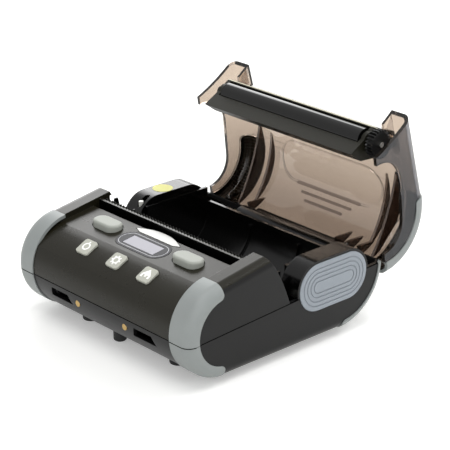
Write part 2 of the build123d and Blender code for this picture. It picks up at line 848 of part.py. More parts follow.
def latch_hook():
    points = [
        (47.4, 25.6),
        (50.6, 30.0),
        (51.6, 34.4),
        (53.0, 36.8),
        (52.8, 38.4),
        (51.2, 44.4),
        (49.4, 44.4),
        (48.0, 38.0),
        (45.6, 31.0),
        (43.0, 29.0),
    ]
    blade = side_polygon(points) + Plane.YZ * (Pos(hook_pivot_y, hook_pivot_z) * Circle(2.8))
    blade = slab(blade, hook_x, hook_x + hook_thick)
    shaft = rod(hook_pivot_y, hook_pivot_z, hook_rod_radius, hook_rod_inner_x, hook_x)
    tip_y, tip_z = release_y, release_stem_bottom - 0.3
    lever = side_polygon(
        [
            (hook_pivot_y - 0.4, hook_pivot_z - 1.4),
            (hook_pivot_y + 1.0, hook_pivot_z + 1.1),
            (tip_y + 3.0, tip_z),
            (tip_y - 3.0, tip_z),
            (tip_y - 3.0, tip_z - 1.6),
            (tip_y + 1.5, tip_z - 1.8),
        ]
    )
    return blade + shaft + slab(lever, release_x - 2.0, release_x + 2.0)


def tear_bar():
    count = int(2 * tear_bar_half / tear_tooth_pitch)
    root = tear_bar_top - tear_tooth_height
    points = [(-tear_bar_half, 38.5), (-tear_bar_half, root)]
    for index in range(count):
        left = -tear_bar_half + index * tear_tooth_pitch
        points.append((left + tear_tooth_pitch / 2, tear_bar_top))
        points.append((left + tear_tooth_pitch, root))
    points.append((tear_bar_half, 38.5))
    face = Plane.XZ * make_face(Polyline(*points, close=True))
    return extrude(Pos(0, carrier_rear_y + seam, 0) * face, amount=-tear_bar_thick)


def lid_shell():
    """Lid, drawn shut: a thin skin with two horns, a scooped front lip and inner ribs."""
    space = above_parting(0.3)
    shell = (OUTER & space) - LID_INNER - shoulder(lid_gap, -80, 80)
    shell = without_bumpers(shell, LID_BAND)
    for side in both_sides(stadium(pad_radius + tower_rim + 0.5, tower_inner_x - 0.4, half + 5)):
        shell -= side
    lip_top_y = 57.0
    lip_low = (51.6, 40.3)
    horn_inner = 47.6
    scoop = side_polygon([(lip_top_y, 80), (lip_top_y, top_height(lip_top_y) - 0.3), lip_low, (lip_low[0], 30), (30, 30), (30, 80)])
    shell -= slab(scoop, -horn_inner, horn_inner)
    top = top_height(lip_top_y)
    lip = side_polygon([(lip_top_y, top), (lip_top_y + 2.2, top - 0.5), (lip_low[0] + 1.7, lip_low[1] - 0.2), lip_low])
    shell += slab(lip, -horn_inner, horn_inner) & OUTER
    cheek_line = side_polygon([(40, 60), (40, 42.5), (58, 42.5), (66, 48), (66, 60)])
    cheek = slab(cheek_line, horn_inner - 1.4, horn_inner) & OUTER
    cheek -= shoulder(lid_gap, -80, 80)
    for side in both_sides(cheek):
        shell += side
    for x, depth, first, last in ((44.2, 9.5, 8, 118), (37.4, 5.5, 18, 112)):
        shell_side = ring_rib(tail_radius - depth, tail_radius - 1.0, first, last, x, x + 1.3)
        for side in both_sides(shell_side):
            shell += side & OUTER
    ring = SlotOverall(66.8, 20.8) - SlotOverall(65.2, 19.2)
    ridge = extrude(Pos(0, 91.6, 40) * ring, amount=30) & (pillow(0.35) - pillow(-0.5))
    shell += ridge
    for angle, length in ((62, 42.0), (54, 33.0), (46, 25.0)):
        rib = extrude(Pos(0, 0, tail_radius - 0.5) * SlotOverall(length, 1.4), amount=0.9)
        shell += Pos(0, tail_centre_y, tail_centre_z) * Rot(-(90 - angle), 0, 0) * rib
    for x in (-48.5, -34.5, 24.5, 31.5, 38.5):
        shell += gusset(x)
    shell -= hinge_rod(lid_edge_radius, -80, 80)
    shell -= hinge_rod(hinge_bar_radius + seam, -hinge_bar_half - 0.3, hinge_bar_half + 0.3)
    return shell


def ring_rib(inner, outer, start, end, x_low, x_high):
    """Curved rib about the tail centre between two angles, running out to points."""
    def at(radius, angle):
        turn = radians(angle)
        return (tail_centre_y + radius * cos(turn), tail_centre_z + radius * sin(turn))
    middle = (start + end) / 2
    edges = ThreePointArc(at(outer, start), at(outer, middle), at(outer, end))
    edges += ThreePointArc(at(outer, end), at(inner, middle), at(outer, start))
    return slab(side_face(edges), x_low, x_high)


def gusset(x):
    """Pointed web between the hinge side and the rear wall."""
    def at(radius, angle):
        turn = radians(angle)
        return (tail_centre_y + radius * cos(turn), tail_centre_z + radius * sin(turn))
    edges = ThreePointArc(at(tail_radius - 1, 6), at(tail_radius - 1, 20), at(tail_radius - 1, 34))
    edges += Line(at(tail_radius - 1, 34), at(19.6, 6))
    edges += Line(at(19.6, 6), at(tail_radius - 1, 6))
    return slab(side_face(edges), x - 0.6, x + 0.6)


def hinge_bar():
    """Barrel on the lid's rear edge, with a flange up the inside of the rear wall."""
    barrel = hinge_rod(hinge_bar_radius, -hinge_bar_half, hinge_bar_half) & OUTER
    flange = rod(tail_centre_y, tail_centre_z, tail_radius - lid_wall - seam, -hinge_bar_half, hinge_bar_half)
    flange -= rod(tail_centre_y, tail_centre_z, tail_radius - lid_wall - seam - 1.3, -hinge_bar_half - 1, hinge_bar_half + 1)
    flange &= bar(-60, 60, 100, 130, hinge_z + 3, hinge_z + 11)
    body = barrel + flange
    for x in (24.5, 31.5, 38.5, -34.5):
        body -= bar(x - 0.8, x + 0.8, 100, 130, hinge_z + 4, hinge_z + 20) - hinge_rod(hinge_bar_radius, -80, 80)
    for side in both_sides(hinge_rod(hinge_pin_radius + running_gap, hinge_pin_inner_end - 0.5, 60)):
        body -= side
    return body


def roller_frame():
    half_x = roller_frame_half
    points = [(57.3, 20.9), (62.6, 27.0), (64.2, 36.0), (64.0, 41.0), (54.1, 41.0), (53.6, 39.6), STRIP_TOP, STRIP_LOW, (54.4, 27.9)]
    beam = slab(side_polygon(points), -half_x, half_x)
    head = side_polygon([(54.0, 40.9), (64.0, 40.9), (63.0, 49.4), (58.9, 48.6), (54.4, 41.4)])
    upper = slab(head, -45.8, 45.8)
    cavity = roller_frame_half - roller_cheek
    beam -= rod(roller_y, roller_z, roller_radius + roller_pocket_gap, -cavity, cavity)
    body = beam + upper
    count = 5
    rib = 1.4
    bay = (2 * 44.0 - (count - 1) * rib) / count
    for index in range(count):
        left = -44.0 + index * (bay + rib)
        body -= bar(left, left + bay, 58.4, 70, 42.4, 48.0)
    body -= rod(roller_y, roller_z, bush_radius, -half_x - 1, half_x + 1)
    for side in both_sides(rod(roller_y, roller_z, 4.2, cavity, half_x)):
        body += side - rod(roller_y, roller_z, bush_radius, -half_x - 1, half_x + 1)
    return body


def lid_strip():
    """Bright paper edge along the top of the roller frame."""
    run = Vector(0, STRIP_TOP[0] - STRIP_LOW[0], STRIP_TOP[1] - STRIP_LOW[1]).normalized()
    side = (-run.Z, run.Y)
    points = []
    for start, lift in ((STRIP_LOW, seam), (STRIP_TOP, seam), (STRIP_TOP, strip_thick), (STRIP_LOW, strip_thick)):
        points.append((start[0] + side[0] * lift, start[1] + side[1] * lift))
    return slab(side_polygon(points), -roller_frame_half, roller_frame_half)


def hinge_pins():
    return compound(both_sides(hinge_rod(hinge_pin_radius - 0.02, hinge_pin_inner_end, hinge_lug_inner + hinge_lug_width)))


def gear_pins():
    pins = [rod(c[0], c[1], gear_pin_radius - 0.02, plate_x, gear_face_x + gear_width + 0.6) for c in (DRIVE, IDLER)]
    return compound(pins)


def motor_pinion():
    wheel = gear(pinion_teeth, MOTOR, pinion_phase, 0.2)
    shaft = rod(MOTOR[0], MOTOR[1], gear_pin_radius, plate_x - 5, gear_face_x + gear_width + 0.5)
    return wheel + shaft


def biarc(start, start_way, end, end_way):
    """Two arcs that join two points with the given directions."""
    span = end - start
    both = start_way + end_way
    blend = 2 * (1 - start_way.dot(end_way))
    reach = (-span.dot(both) + sqrt(span.dot(both) ** 2 + blend * span.dot(span))) / blend
    first = start + start_way * reach
    second = end - end_way * reach
    middle = (first + second) * 0.5
    way = (second - first).normalized()
    return [Edge.make_tangent_arc(start, start_way, middle), Edge.make_tangent_arc(middle, way, end)]


def spring_ledge():
    """Ledge on the inside of the rear wall, under the spring's base leg."""
    top = hinge_z - spring_coil_radius - spring_wire / 2 - 0.1
    x = spring_start_x + spring_pitch * (spring_turns + spring_lid_leg_lift / 360)
    return bar(x - 1.0, x + 1.0, hinge_y - 4.0, hinge_y + 1.0, top - 4.0, top) & INNER


def torsion_spring():
    """Lid leg, turns round the hinge pin and base leg, in one unbroken tube."""
    swing = 360 * spring_turns + spring_lid_leg_lift
    halves = 2 * spring_turns + 1

    def angle_at(step):
        return radians(270 + spring_lid_leg_lift - swing * step / halves)

    def point(step):
        angle = angle_at(step)
        x = spring_start_x + spring_pitch * swing * step / halves / 360
        return HINGE + Vector(x, spring_coil_radius * cos(angle), spring_coil_radius * sin(angle))

    def way(step):
        angle = angle_at(step)
        round_pin = Vector(0, sin(angle), -cos(angle)) * (2 * pi * spring_coil_radius)
        return (round_pin + Vector(spring_pitch, 0, 0)).normalized()

    edges = [Edge.make_line(point(0) - way(0) * spring_lid_leg, point(0))]
    for step in range(halves):
        edges += biarc(point(step), way(step), point(step + 1), way(step + 1))
    edges.append(Edge.make_line(point(halves), point(halves) + way(halves) * spring_base_leg))
    path = Wire(edges)
    print("torsion_springs least gap", round(least_gap(edges), 2))
    start = Plane(origin=edges[0] @ 0, z_dir=edges[0] % 0)
    return sweep(start * Circle(spring_wire / 2), path=path)


def least_gap(edges):
    """Smallest clear distance between stretches of wire that aren't next to each other."""
    points = []
    for edge in edges:
        count = max(2, int(edge.length / 0.3))
        points += [edge @ (index / count) for index in range(count)]
    least = 100.0
    apart = int(2 * spring_coil_radius / 0.3)
    for index, one in enumerate(points):
        for other in points[index + apart :]:
            least = min(least, (one - other).length)
    return least - spring_wire


def torsion_springs():
    return compound(both_sides(torsion_spring()))


def platen_shaft():
    left = -bush_outer_x
    body = rod(roller_y, roller_z, shaft_radius, left, bush_outer_x + 0.2)
    return body + rod(roller_y, roller_z, shaft_end_radius, bush_outer_x, gear_face_x + gear_width + 0.9)


def platen_roller():
    sleeve = rod(roller_y, roller_z, roller_radius, -roller_half, roller_half)
    return sleeve - rod(roller_y, roller_z, shaft_radius, -roller_half - 1, roller_half + 1)


def platen_bushes():
    bush = rod(roller_y, roller_z, bush_radius, roller_frame_half - roller_cheek + 0.1, bush_outer_x)
    return both_sides(bush - rod(roller_y, roller_z, shaft_radius + running_gap, 40, 60))


def opened(shape):
    """Turn a shut piece of the lid open about the hinge."""
    return Pos(*HINGE) * (Rot(-open_angle, 0, 0) * (Pos(*(HINGE * -1)) * shape))


def compound(solids):
    flat = []
    for item in solids:
        flat.extend(item.solids())
    return Compound(children=flat)


def build():
    base = {
        "lower_case": lower_case(),
        "upper_case": upper_case(),
    }
    tower_right, tower_left = both_sides(tower())
    base["side_tower_right"] = tower_right
    base["side_tower_left"] = tower_left - switch_slot()
    base["cover_switch"] = cover_switch()
    base["switch_body"] = switch_body()
    base["rubber_feet"] = rubber_feet()
    base["clip_stud"] = clip_stud()
    base["case_screws"] = case_screws()
    base["battery_pack"] = battery_pack()
    base["battery_door"] = battery_door()
    base["battery_latch"] = battery_latch()
    base["port_sockets"] = port_sockets()
    base["charge_contacts"] = charge_contacts()
    base["main_board"] = main_board()
    base["key_board"] = key_board()
    base["hinge_pins"] = hinge_pins()
    base["torsion_springs"] = torsion_springs()
    base["gear_pins"] = gear_pins()
    base["motor_pinion"] = motor_pinion()
    base["drive_gear"] = gear(drive_teeth, DRIVE, drive_phase, gear_pin_radius + running_gap)
    base["idler_gear"] = gear(idler_teeth, IDLER, idler_phase, gear_pin_radius + running_gap)
    pad_right, pad_left = both_sides(pad())
    base["side_pad_right"] = pad_right
    base["side_pad_left"] = pad_left
    lower_right, lower_left = both_sides(bumper(FRONT_BAND, below_parting(-0.05)))
    upper_right, upper_left = both_sides(bumper(FRONT_BAND, above_parting(seam)))
    lug_space = hinge_rod(hinge_lug_radius + seam, hinge_lug_inner - seam, hinge_lug_inner + hinge_lug_width + seam)
    rear_right, rear_left = both_sides(bumper(REAR_BAND, below_parting(-0.05)) - REAR_CORNER - lug_space)
    base["front_lower_bumper_right"] = lower_right
    base["front_lower_bumper_left"] = lower_left
    base["front_upper_bumper_right"] = upper_right
    base["front_upper_bumper_left"] = upper_left
    base["rear_bumper_right"] = rear_right
    base["rear_bumper_left"] = rear_left
    base["paper_tub"] = paper_tub()
    base["mechanism_frame"] = mechanism_frame()
    base["stepper_motor"] = stepper_motor()
    base["thermal_head"] = thermal_head()
    hook_right, hook_left = both_sides(latch_hook())
    base["latch_hook_right"] = hook_right
    base["latch_hook_left"] = hook_left
    base["tear_bar"] = tear_bar()
    base["power_button"] = key(-key_pitch)
    base["function_button"] = key(0)
    base["feed_button"] = key(key_pitch)
    base["release_button_left"] = release_button(-release_x)
    base["release_button_right"] = release_button(release_x)
    base["lcd_bezel"] = lcd_bezel()
    base["lcd_glass"] = glass_plate(0, -0.3, 0.05)
    base["trim_plate"] = crescent(0, -0.4, 0.15)
    lid = {
        "cover_shell": lid_shell(),
        "roller_frame": roller_frame(),
        "cover_tear_strip": lid_strip(),
        "hinge_bar": hinge_bar(),
        "platen_shaft": platen_shaft(),
        "platen_roller": platen_roller(),
        "platen_bushes": compound(platen_bushes()),
        "platen_gear": gear(platen_teeth, (roller_y, roller_z), swing_angle, shaft_end_radius),
    }
    lid_right, lid_left = both_sides(bumper(LID_BAND, above_parting(0.3)) - hinge_rod(lid_edge_radius, 0, 80))
    lid["cover_bumper_right"] = lid_right
    lid["cover_bumper_left"] = lid_left
    nodes = dict(base)
    for name, shape in lid.items():
        nodes[name] = opened(shape)
    return nodes


def centred(nodes):
    """Move every piece so that the origin is under the middle of the open printer."""
    boxes = [shape.bounding_box() for shape in nodes.values()]
    front = min(box.min.Y for box in boxes)
    rear = max(box.max.Y for box in boxes)
    low = min(box.min.Z for box in boxes)
    shift = Vector(0, -(front + rear) / 2, -low)
    for name in nodes:
        nodes[name] = Pos(*shift) * nodes[name]
    return shift


nodes = build()
shift = centred(nodes)
os.makedirs("parts", exist_ok=True)
for name, shape in nodes.items():
    export_step(shape, "parts/" + name + ".step")
    box = shape.bounding_box()
    print(name, len(shape.solids()), [round(v, 1) for v in (*box.min, *box.max)])
print("shift", [round(v, 4) for v in shift])
places = {"hinge": (hinge_y, hinge_z), "hooks": (hook_pivot_y, hook_pivot_z), "shut roller": (roller_y, roller_z)}
places.update({"idler": IDLER, "drive": DRIVE, "motor": MOTOR, "head": (47.5, 22.5)})
for name, (y, z) in places.items():
    print(name, round(y + shift.Y, 4), round(z + shift.Z, 4))
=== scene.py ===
"""Portable thermal printer with its lid open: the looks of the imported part.

Lengths are in millimetres and angles in degrees, unless a comment says otherwise.
"""

from __future__ import annotations

import json
import logging
import math
from dataclasses import dataclass, replace
from enum import Enum
from typing import Callable, Sequence

import bmesh
import bpy
from bmesh.types import BMEdge, BMesh, BMVert
from bpy.types import ID, Material, MeshPolygon, Node, NodeSocket, NodeTree, Object
from mathutils import Matrix, Vector
from mathutils.bvhtree import BVHTree

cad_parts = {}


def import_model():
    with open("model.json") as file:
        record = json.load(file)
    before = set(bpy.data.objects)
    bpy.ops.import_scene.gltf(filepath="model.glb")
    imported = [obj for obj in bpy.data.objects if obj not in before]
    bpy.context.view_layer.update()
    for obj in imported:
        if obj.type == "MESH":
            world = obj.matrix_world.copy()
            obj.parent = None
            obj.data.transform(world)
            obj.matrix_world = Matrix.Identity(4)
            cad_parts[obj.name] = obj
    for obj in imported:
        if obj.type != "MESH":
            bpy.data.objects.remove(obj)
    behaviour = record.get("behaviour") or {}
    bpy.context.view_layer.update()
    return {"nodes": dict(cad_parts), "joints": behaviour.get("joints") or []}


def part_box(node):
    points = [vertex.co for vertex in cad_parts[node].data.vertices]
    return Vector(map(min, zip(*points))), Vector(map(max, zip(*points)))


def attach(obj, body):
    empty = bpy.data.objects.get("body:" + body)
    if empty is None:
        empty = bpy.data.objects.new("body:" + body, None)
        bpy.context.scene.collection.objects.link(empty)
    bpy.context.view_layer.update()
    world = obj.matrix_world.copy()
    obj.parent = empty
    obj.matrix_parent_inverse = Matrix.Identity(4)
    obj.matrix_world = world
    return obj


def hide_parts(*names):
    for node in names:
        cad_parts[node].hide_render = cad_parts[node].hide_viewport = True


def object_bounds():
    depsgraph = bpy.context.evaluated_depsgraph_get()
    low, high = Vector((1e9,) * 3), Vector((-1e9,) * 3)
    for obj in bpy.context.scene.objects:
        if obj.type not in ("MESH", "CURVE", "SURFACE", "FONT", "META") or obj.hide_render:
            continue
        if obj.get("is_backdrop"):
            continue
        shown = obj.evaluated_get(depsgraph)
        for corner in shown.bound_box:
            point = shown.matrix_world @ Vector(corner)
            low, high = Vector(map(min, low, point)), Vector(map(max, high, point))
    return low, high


MM = 0.001

# Points this near to each other become one, and this near to a cut lie on it, in metres
MERGE_WITHIN, CUT_WITHIN = 1e-7, 1e-8
# How far a flat face's points may lie under its highest one
FLAT_WITHIN = 0.02
# Height from which rays drop onto the printer, in metres
RAY_START = 0.5
# Rays start this far outside or inside a surface
RAY_OUTSIDE, RAY_INSIDE = 0.05, 0.02
# A face whose normal has more than this along X faces sideways
SIDEWAYS = 0.8
# Raised details are rooted at this height, just under what carries them
ROOT = -0.02
# Share of a curve between the two points that give its direction
CURVE_STEP = 0.001
# Sockets of the colour mix, whose names repeat within the node
MIX_SHARE, MIX_FIRST, MIX_SECOND, MIX_RESULT = 0, 6, 7, 2
# Noise of the materials: patches per metre, and layers of detail
GLOSS_PATCHES, GLOSS_DETAIL = 90.0, 3.0
SHADE_PATCHES, SHADE_DETAIL = 220.0, 4.0
GRAIN_DETAIL = 2.0
BEVEL_SAMPLES = 4

Pair = tuple[float, float]
Triple = tuple[float, float, float]
Curve = Callable[[float], Pair]

log = logging.getLogger("printer")


def linear(code: str) -> tuple[float, float, float, float]:
    """Turn an sRGB hex colour into Blender's linear values.

    Args:
        code: Six hex digits after a hash sign.

    Returns:
        Red, green, blue and an alpha of 1.
    """
    parts = [int(code[i : i + 2], 16) / 255 for i in (1, 3, 5)]
    # The sRGB curve: a straight foot, then a power
    red, green, blue = [
        part / 12.92 if part <= 0.04045 else ((part + 0.055) / 1.055) ** 2.4 for part in parts
    ]
    return red, green, blue, 1.0


def add_node(
    tree: NodeTree,
    kind: str,
    settings: dict[str, object] | None = None,
    values: dict[str | int, object] | None = None,
    links: dict[str | int, NodeSocket] | None = None,
) -> Node:
    """Add a node with its settings, socket values and incoming links.

    Args:
        tree: Tree that gets the node.
        kind: Blender's name for the node.
        settings: Properties of the node itself.
        values: Default values of its input sockets.
        links: Sockets of other nodes, by the input that each one feeds.

    Returns:
        The new node.
    """
    node = tree.nodes.new(kind)
    for key, value in (settings or {}).items():
        setattr(node, key, value)
    for key, value in (values or {}).items():
        node.inputs[key].default_value = value
    for key, socket in (links or {}).items():
        tree.links.new(socket, node.inputs[key])
    return node


def add_object(name: str, data: ID) -> Object:
    """Add an object to the scene.

    Args:
        name: Object name.
        data: Its mesh, lamp or camera.

    Returns:
        The new object, at the origin.
    """
    made = bpy.data.objects.new(name, data)
    bpy.context.scene.collection.objects.link(made)
    return made


@dataclass(frozen=True)
class Surface:
    """A material's tree while its look is built up.

    Attributes:
        tree: The tree.
        shader: Its surface shader.
        place: Object coordinates.
    """

    tree: NodeTree
    shader: Node
    place: NodeSocket

    def feed(self, name: str, socket: NodeSocket) -> None:
        """Let a socket set one of the shader's values.

        Args:
            name: Name of the shader's input.
            socket: The socket that feeds it.
        """
        self.tree.links.new(socket, self.shader.inputs[name])

    def noise(self, patches: float, detail: float, place: NodeSocket) -> NodeSocket:
        """Add a noise.

        Args:
            patches: Its patches per metre.
            detail: Its layers of detail.
            place: Where it is looked up.

        Returns:
            Its value.
        """
        values = {"Scale": patches, "Detail": detail}
        links = {"Vector": place}
        return add_node(self.tree, "ShaderNodeTexNoise", values=values, links=links).outputs[0]

    def blend(self, share: NodeSocket, first: Sequence[float], second: Sequence[float]) -> None:
        """Mix two linear colours into the base colour.

        Args:
            share: Share of the second colour.
            first: Colour where the share is 0.
            second: Colour where the share is 1.
        """
        colours = {MIX_FIRST: first, MIX_SECOND: second}
        kind = {"data_type": "RGBA"}
        mix = add_node(self.tree, "ShaderNodeMix", kind, colours, {MIX_SHARE: share})
        self.feed("Base Color", mix.outputs[MIX_RESULT])


@dataclass(frozen=True)
class Finish:
    """A real material, how its surface was made, and the values that give its look.

    Attributes:
        name: What the material is.
        colour: Its sRGB colour as a hex code.
        roughness: Roughness of its surface.
        metallic: 1 for bare metal.
        ior: Index of refraction. A low one keeps a dark surface from glaring.
        transmission: Share of the light that goes through.
        grain_mm: Size of the surface's grain.
        grain_depth_mm: Depth of the grain, or 0 for none.
        edge_mm: Radius that the shading gives to sharp edges, or 0 for none.
        gloss_change: How far the roughness wanders to either side.
        shade_change: How far the colour wanders to either side, as a share.
        streak: Scale of the grain along X, Y and Z. A low value draws it out.
        painted_shade_colour: Colour of the painted shade at the bottom, or nothing for one colour
            all over.
        painted_shade_mm: Heights between which the painted shade passes into the main colour.
    """

    name: str
    colour: str
    roughness: float
    metallic: float = 0.0
    ior: float = 1.5
    transmission: float = 0.0
    grain_mm: float = 0.5
    grain_depth_mm: float = 0.0
    edge_mm: float = 0.0
    gloss_change: float = 0.0
    shade_change: float = 0.0
    streak: Triple = (1.0, 1.0, 1.0)
    painted_shade_colour: str = ""
    painted_shade_mm: Pair = (0.0, 1.0)

    def material(self) -> Material:
        """Build the material once and give the same one after that.

        Returns:
            The material.
        """
        known = bpy.data.materials.get(self.name)
        if known:
            return known
        made = bpy.data.materials.new(self.name)
        made.use_nodes = True
        tree = made.node_tree
        tree.nodes.clear()
        values = {
            "Base Color": linear(self.colour),
            "Roughness": self.roughness,
            "Metallic": self.metallic,
            "IOR": self.ior,
            "Transmission Weight": self.transmission,
        }
        shader = add_node(tree, "ShaderNodeBsdfPrincipled", values=values)
        place = add_node(tree, "ShaderNodeTexCoord").outputs["Object"]
        self.texture(Surface(tree, shader, place))
        add_node(tree, "ShaderNodeOutputMaterial", links={"Surface": shader.outputs[0]})
        made.diffuse_color = linear(self.colour)
        return made

    def texture(self, on: Surface) -> None:
        """Add the rounded edges, the grain, the slow changes of gloss and colour, and the painted
        shade.

        Args:
            on: The surface.
        """
        normal = None
        if self.edge_mm:
            radius = {"Radius": self.edge_mm * MM}
            bevel = add_node(on.tree, "ShaderNodeBevel", {"samples": BEVEL_SAMPLES}, radius)
            normal = bevel.outputs[0]
        if self.grain_depth_mm:
            normal = self.grain(on, normal)
        if normal:
            on.feed("Normal", normal)
        if self.gloss_change:
            self.vary_gloss(on)
        if self.shade_change:
            self.vary_shade(on)
        # Painted shade that darkens the colour towards the bottom
        if self.painted_shade_colour:
            self.paint_shade_down(on)

    def grain(self, on: Surface, normal: NodeSocket | None) -> NodeSocket:
        """Add the fine grain of the mould or the grinding.

        Args:
            on: The surface.
            normal: The normal under it, if that isn't the mesh's own.

        Returns:
            The normal with the grain.
        """
        values, links = {"Scale": self.streak}, {"Vector": on.place}
        drawn = add_node(on.tree, "ShaderNodeMapping", values=values, links=links).outputs[0]
        links = {"Height": on.noise(1 / (self.grain_mm * MM), GRAIN_DETAIL, drawn)}
        if normal:
            links["Normal"] = normal
        values = {"Distance": self.grain_depth_mm * MM}
        return add_node(on.tree, "ShaderNodeBump", values=values, links=links).outputs[0]

    def vary_gloss(self, on: Surface) -> None:
        """Let the roughness wander over patches of a centimetre or so, as handling leaves it.

        Args:
            on: The surface.
        """
        values = {
            "To Min": self.roughness - self.gloss_change,
            "To Max": self.roughness + self.gloss_change,
        }
        links = {"Value": on.noise(GLOSS_PATCHES, GLOSS_DETAIL, on.place)}
        spread = add_node(on.tree, "ShaderNodeMapRange", values=values, links=links)
        on.feed("Roughness", spread.outputs[0])

    def vary_shade(self, on: Surface) -> None:
        """Let the colour wander a little, as a moulding's flow leaves it.

        Args:
            on: The surface.
        """
        base = linear(self.colour)[:3]
        dark = tuple(part * (1 - self.shade_change) for part in base) + (1.0,)
        pale = tuple(min(1.0, part * (1 + self.shade_change)) for part in base) + (1.0,)
        on.blend(on.noise(SHADE_PATCHES, SHADE_DETAIL, on.place), dark, pale)

    def paint_shade_down(self, on: Surface) -> None:
        """Paint shade: pass slowly to the darker foot colour towards the bottom.

        Args:
            on: The surface.
        """
        height = add_node(on.tree, "ShaderNodeSeparateXYZ", links={0: on.place}).outputs["Z"]
        low, high = self.painted_shade_mm
        values = {"From Min": low * MM, "From Max": high * MM}
        share = add_node(on.tree, "ShaderNodeMapRange", values=values, links={"Value": height})
        on.blend(share.outputs[0], linear(self.painted_shade_colour), linear(self.colour))


# Injection-moulded ABS from a fine spark-eroded tool: charcoal with a satin, faintly pebbled sheen
CASE_ABS = Finish(
    "Spark-eroded charcoal ABS", "#151515", 0.34, ior=1.3, grain_mm=0.45, grain_depth_mm=0.01,
    edge_mm=0.3, gloss_change=0.04, shade_change=0.05,
)
# Painted light: a warmer, olive and a little glossier copy of the same ABS, on the upper case's
# faces except its flanks, for the tint that light gives them
UPPER_ABS_PAINTED_TINT = Finish(
    "Spark-eroded olive-black ABS", "#1c1a11", 0.28, ior=1.3, grain_mm=0.45, grain_depth_mm=0.008,
    edge_mm=0.3, gloss_change=0.04, shade_change=0.05,
)
# Painted shadow: a black matt line laid where the shells meet, for the shade in their seam, from
# which no light comes back
SHADOW_GAP = Finish("Shadow gap", "#020202", 0.95, ior=1.02)
# Soft TPE moulded over the corners: pale grey, a dull soft sheen
CORNER_TPE = Finish(
    "Overmoulded grey TPE", "#8d9291", 0.45, grain_mm=0.7, grain_depth_mm=0.01, edge_mm=0.35,
    gloss_change=0.05, shade_change=0.04,
)
# Compression-moulded silicone: bluer than the corners, even and soft
PAD_SILICONE = Finish(
    "Moulded blue-grey silicone", "#959ca4", 0.6, grain_mm=0.6, grain_depth_mm=0.006,
    edge_mm=0.3, shade_change=0.03,
)
# Polished smoky polycarbonate: see-through brown, clear gloss, with painted shade that darkens it
# towards the bottom of the open lid, by the hinge
SMOKY_PC = Finish(
    "Smoky polycarbonate, polished", "#bcac9d", 0.05, ior=1.4, transmission=1.0,
    painted_shade_colour="#75665a", painted_shade_mm=(28.0, 82.0),
)
# The same polycarbonate along its rims, where the light's path is longer
SMOKY_RIM = Finish("Smoky polycarbonate, rims", "#8d7f74", 0.08, ior=1.4, transmission=0.95)
# Ribs seen edge on: dark brown
SMOKY_RIB = Finish("Smoky polycarbonate, ribs", "#41332b", 0.1, ior=1.4, transmission=0.8)
# Painted shade: a darker, bluish grey copy of the same polycarbonate, on the outer faces of the
# right end wall only, for the shade seen through the wall, the ribs and the back
SMOKY_WALL_PAINTED_SHADE = Finish("Smoky polycarbonate, end wall", "#464b57", 0.07, ior=1.45, transmission=0.9)
# Glossy ABS of the paper bay and the hinge bar: black, smooth from a polished tool
BAY_ABS = Finish("Polished black ABS", "#040404", 0.22, ior=1.33, edge_mm=0.25, gloss_change=0.04)
# Glass-filled nylon of the roller's carrier: dark olive, satin
CARRIER_NYLON = Finish(
    "Glass-filled olive nylon", "#191810", 0.5, ior=1.3, grain_mm=0.4, grain_depth_mm=0.008,
    edge_mm=0.25, shade_change=0.06,
)
# Ground EPDM rubber: dark, with a clean narrow highlight
ROLLER_RUBBER = Finish(
    "Ground EPDM rubber", "#0a0a09", 0.08, ior=1.36, grain_mm=0.25, grain_depth_mm=0.0005,
    streak=(0.2, 1.0, 1.0),
)
# Turned and polished steel of the pins and shafts: bright, with sharp highlights
BRIGHT_STEEL = Finish("Turned bright steel", "#c9c8c2", 0.22, metallic=1.0, edge_mm=0.1)
# Blackened sheet steel of the mechanism: near black, satin
BLACK_STEEL = Finish("Blackened sheet steel", "#0b0b0c", 0.4, metallic=1.0, edge_mm=0.1)
# Stamped and blackened stainless strip of the tear bar: dark, with a glint on the teeth
TEAR_STEEL = Finish("Blackened stainless strip", "#161615", 0.4, metallic=1.0)
# Passivated spring wire: yellowish metal gloss
SPRING_WIRE = Finish("Passivated spring wire", "#c9b576", 0.28, metallic=1.0)
# Silicone rubber keys: warm light grey, matt
KEY_SILICONE = Finish(
    "Silicone key", "#b4b5aa", 0.55, grain_mm=0.4, grain_depth_mm=0.005, edge_mm=0.3,
    shade_change=0.03,
)
# White pad print on the keys: flat and clean
KEY_PRINT = Finish("White pad print", "#fbfbf8", 0.5)
# Moulded ABS of the release buttons: warm grey, satin
BUTTON_ABS = Finish(
    "Satin warm-grey ABS", "#a3a69f", 0.55, ior=1.35, grain_mm=0.4, grain_depth_mm=0.005,
    edge_mm=0.4,
)
# Back-painted acrylic round the display: dark grey without glare
BEZEL_ACRYLIC = Finish("Back-painted acrylic", "#3a3a3d", 0.2, ior=1.14, edge_mm=0.15)
# A pale thin line just inside the bezel's edge, where the window's rim shows lighter
BEZEL_LINE = Finish("Silver print behind acrylic", "#8e8f94", 0.3)
# Reflective display behind glass: pale lavender grey
DISPLAY_GLASS = Finish("Reflective display glass", "#adacb3", 0.3, ior=1.15)
# Vacuum-metallised trim: silvery, softly blurred
BRIGHT_TRIM = Finish("Vacuum-metallised trim", "#959593", 0.35, metallic=1.0, edge_mm=0.1)
# Natural acetal of the white gears and the switch: milky, waxy sheen
WHITE_ACETAL = Finish("Natural acetal", "#e3e3dc", 0.35, edge_mm=0.1)
# Black acetal of the roller's gear and bushes: black, waxy sheen
BLACK_ACETAL = Finish("Black acetal", "#080808", 0.35, ior=1.32, edge_mm=0.12)
# The strip where the paper leaves: cream, nearly white, partly the strip's own pale colour and
# partly a painted highlight along the lid's front edge
CREAM_STRIP_PAINTED_HIGHLIGHT = Finish("Cream polyester strip", "#fbf6dd", 0.3)
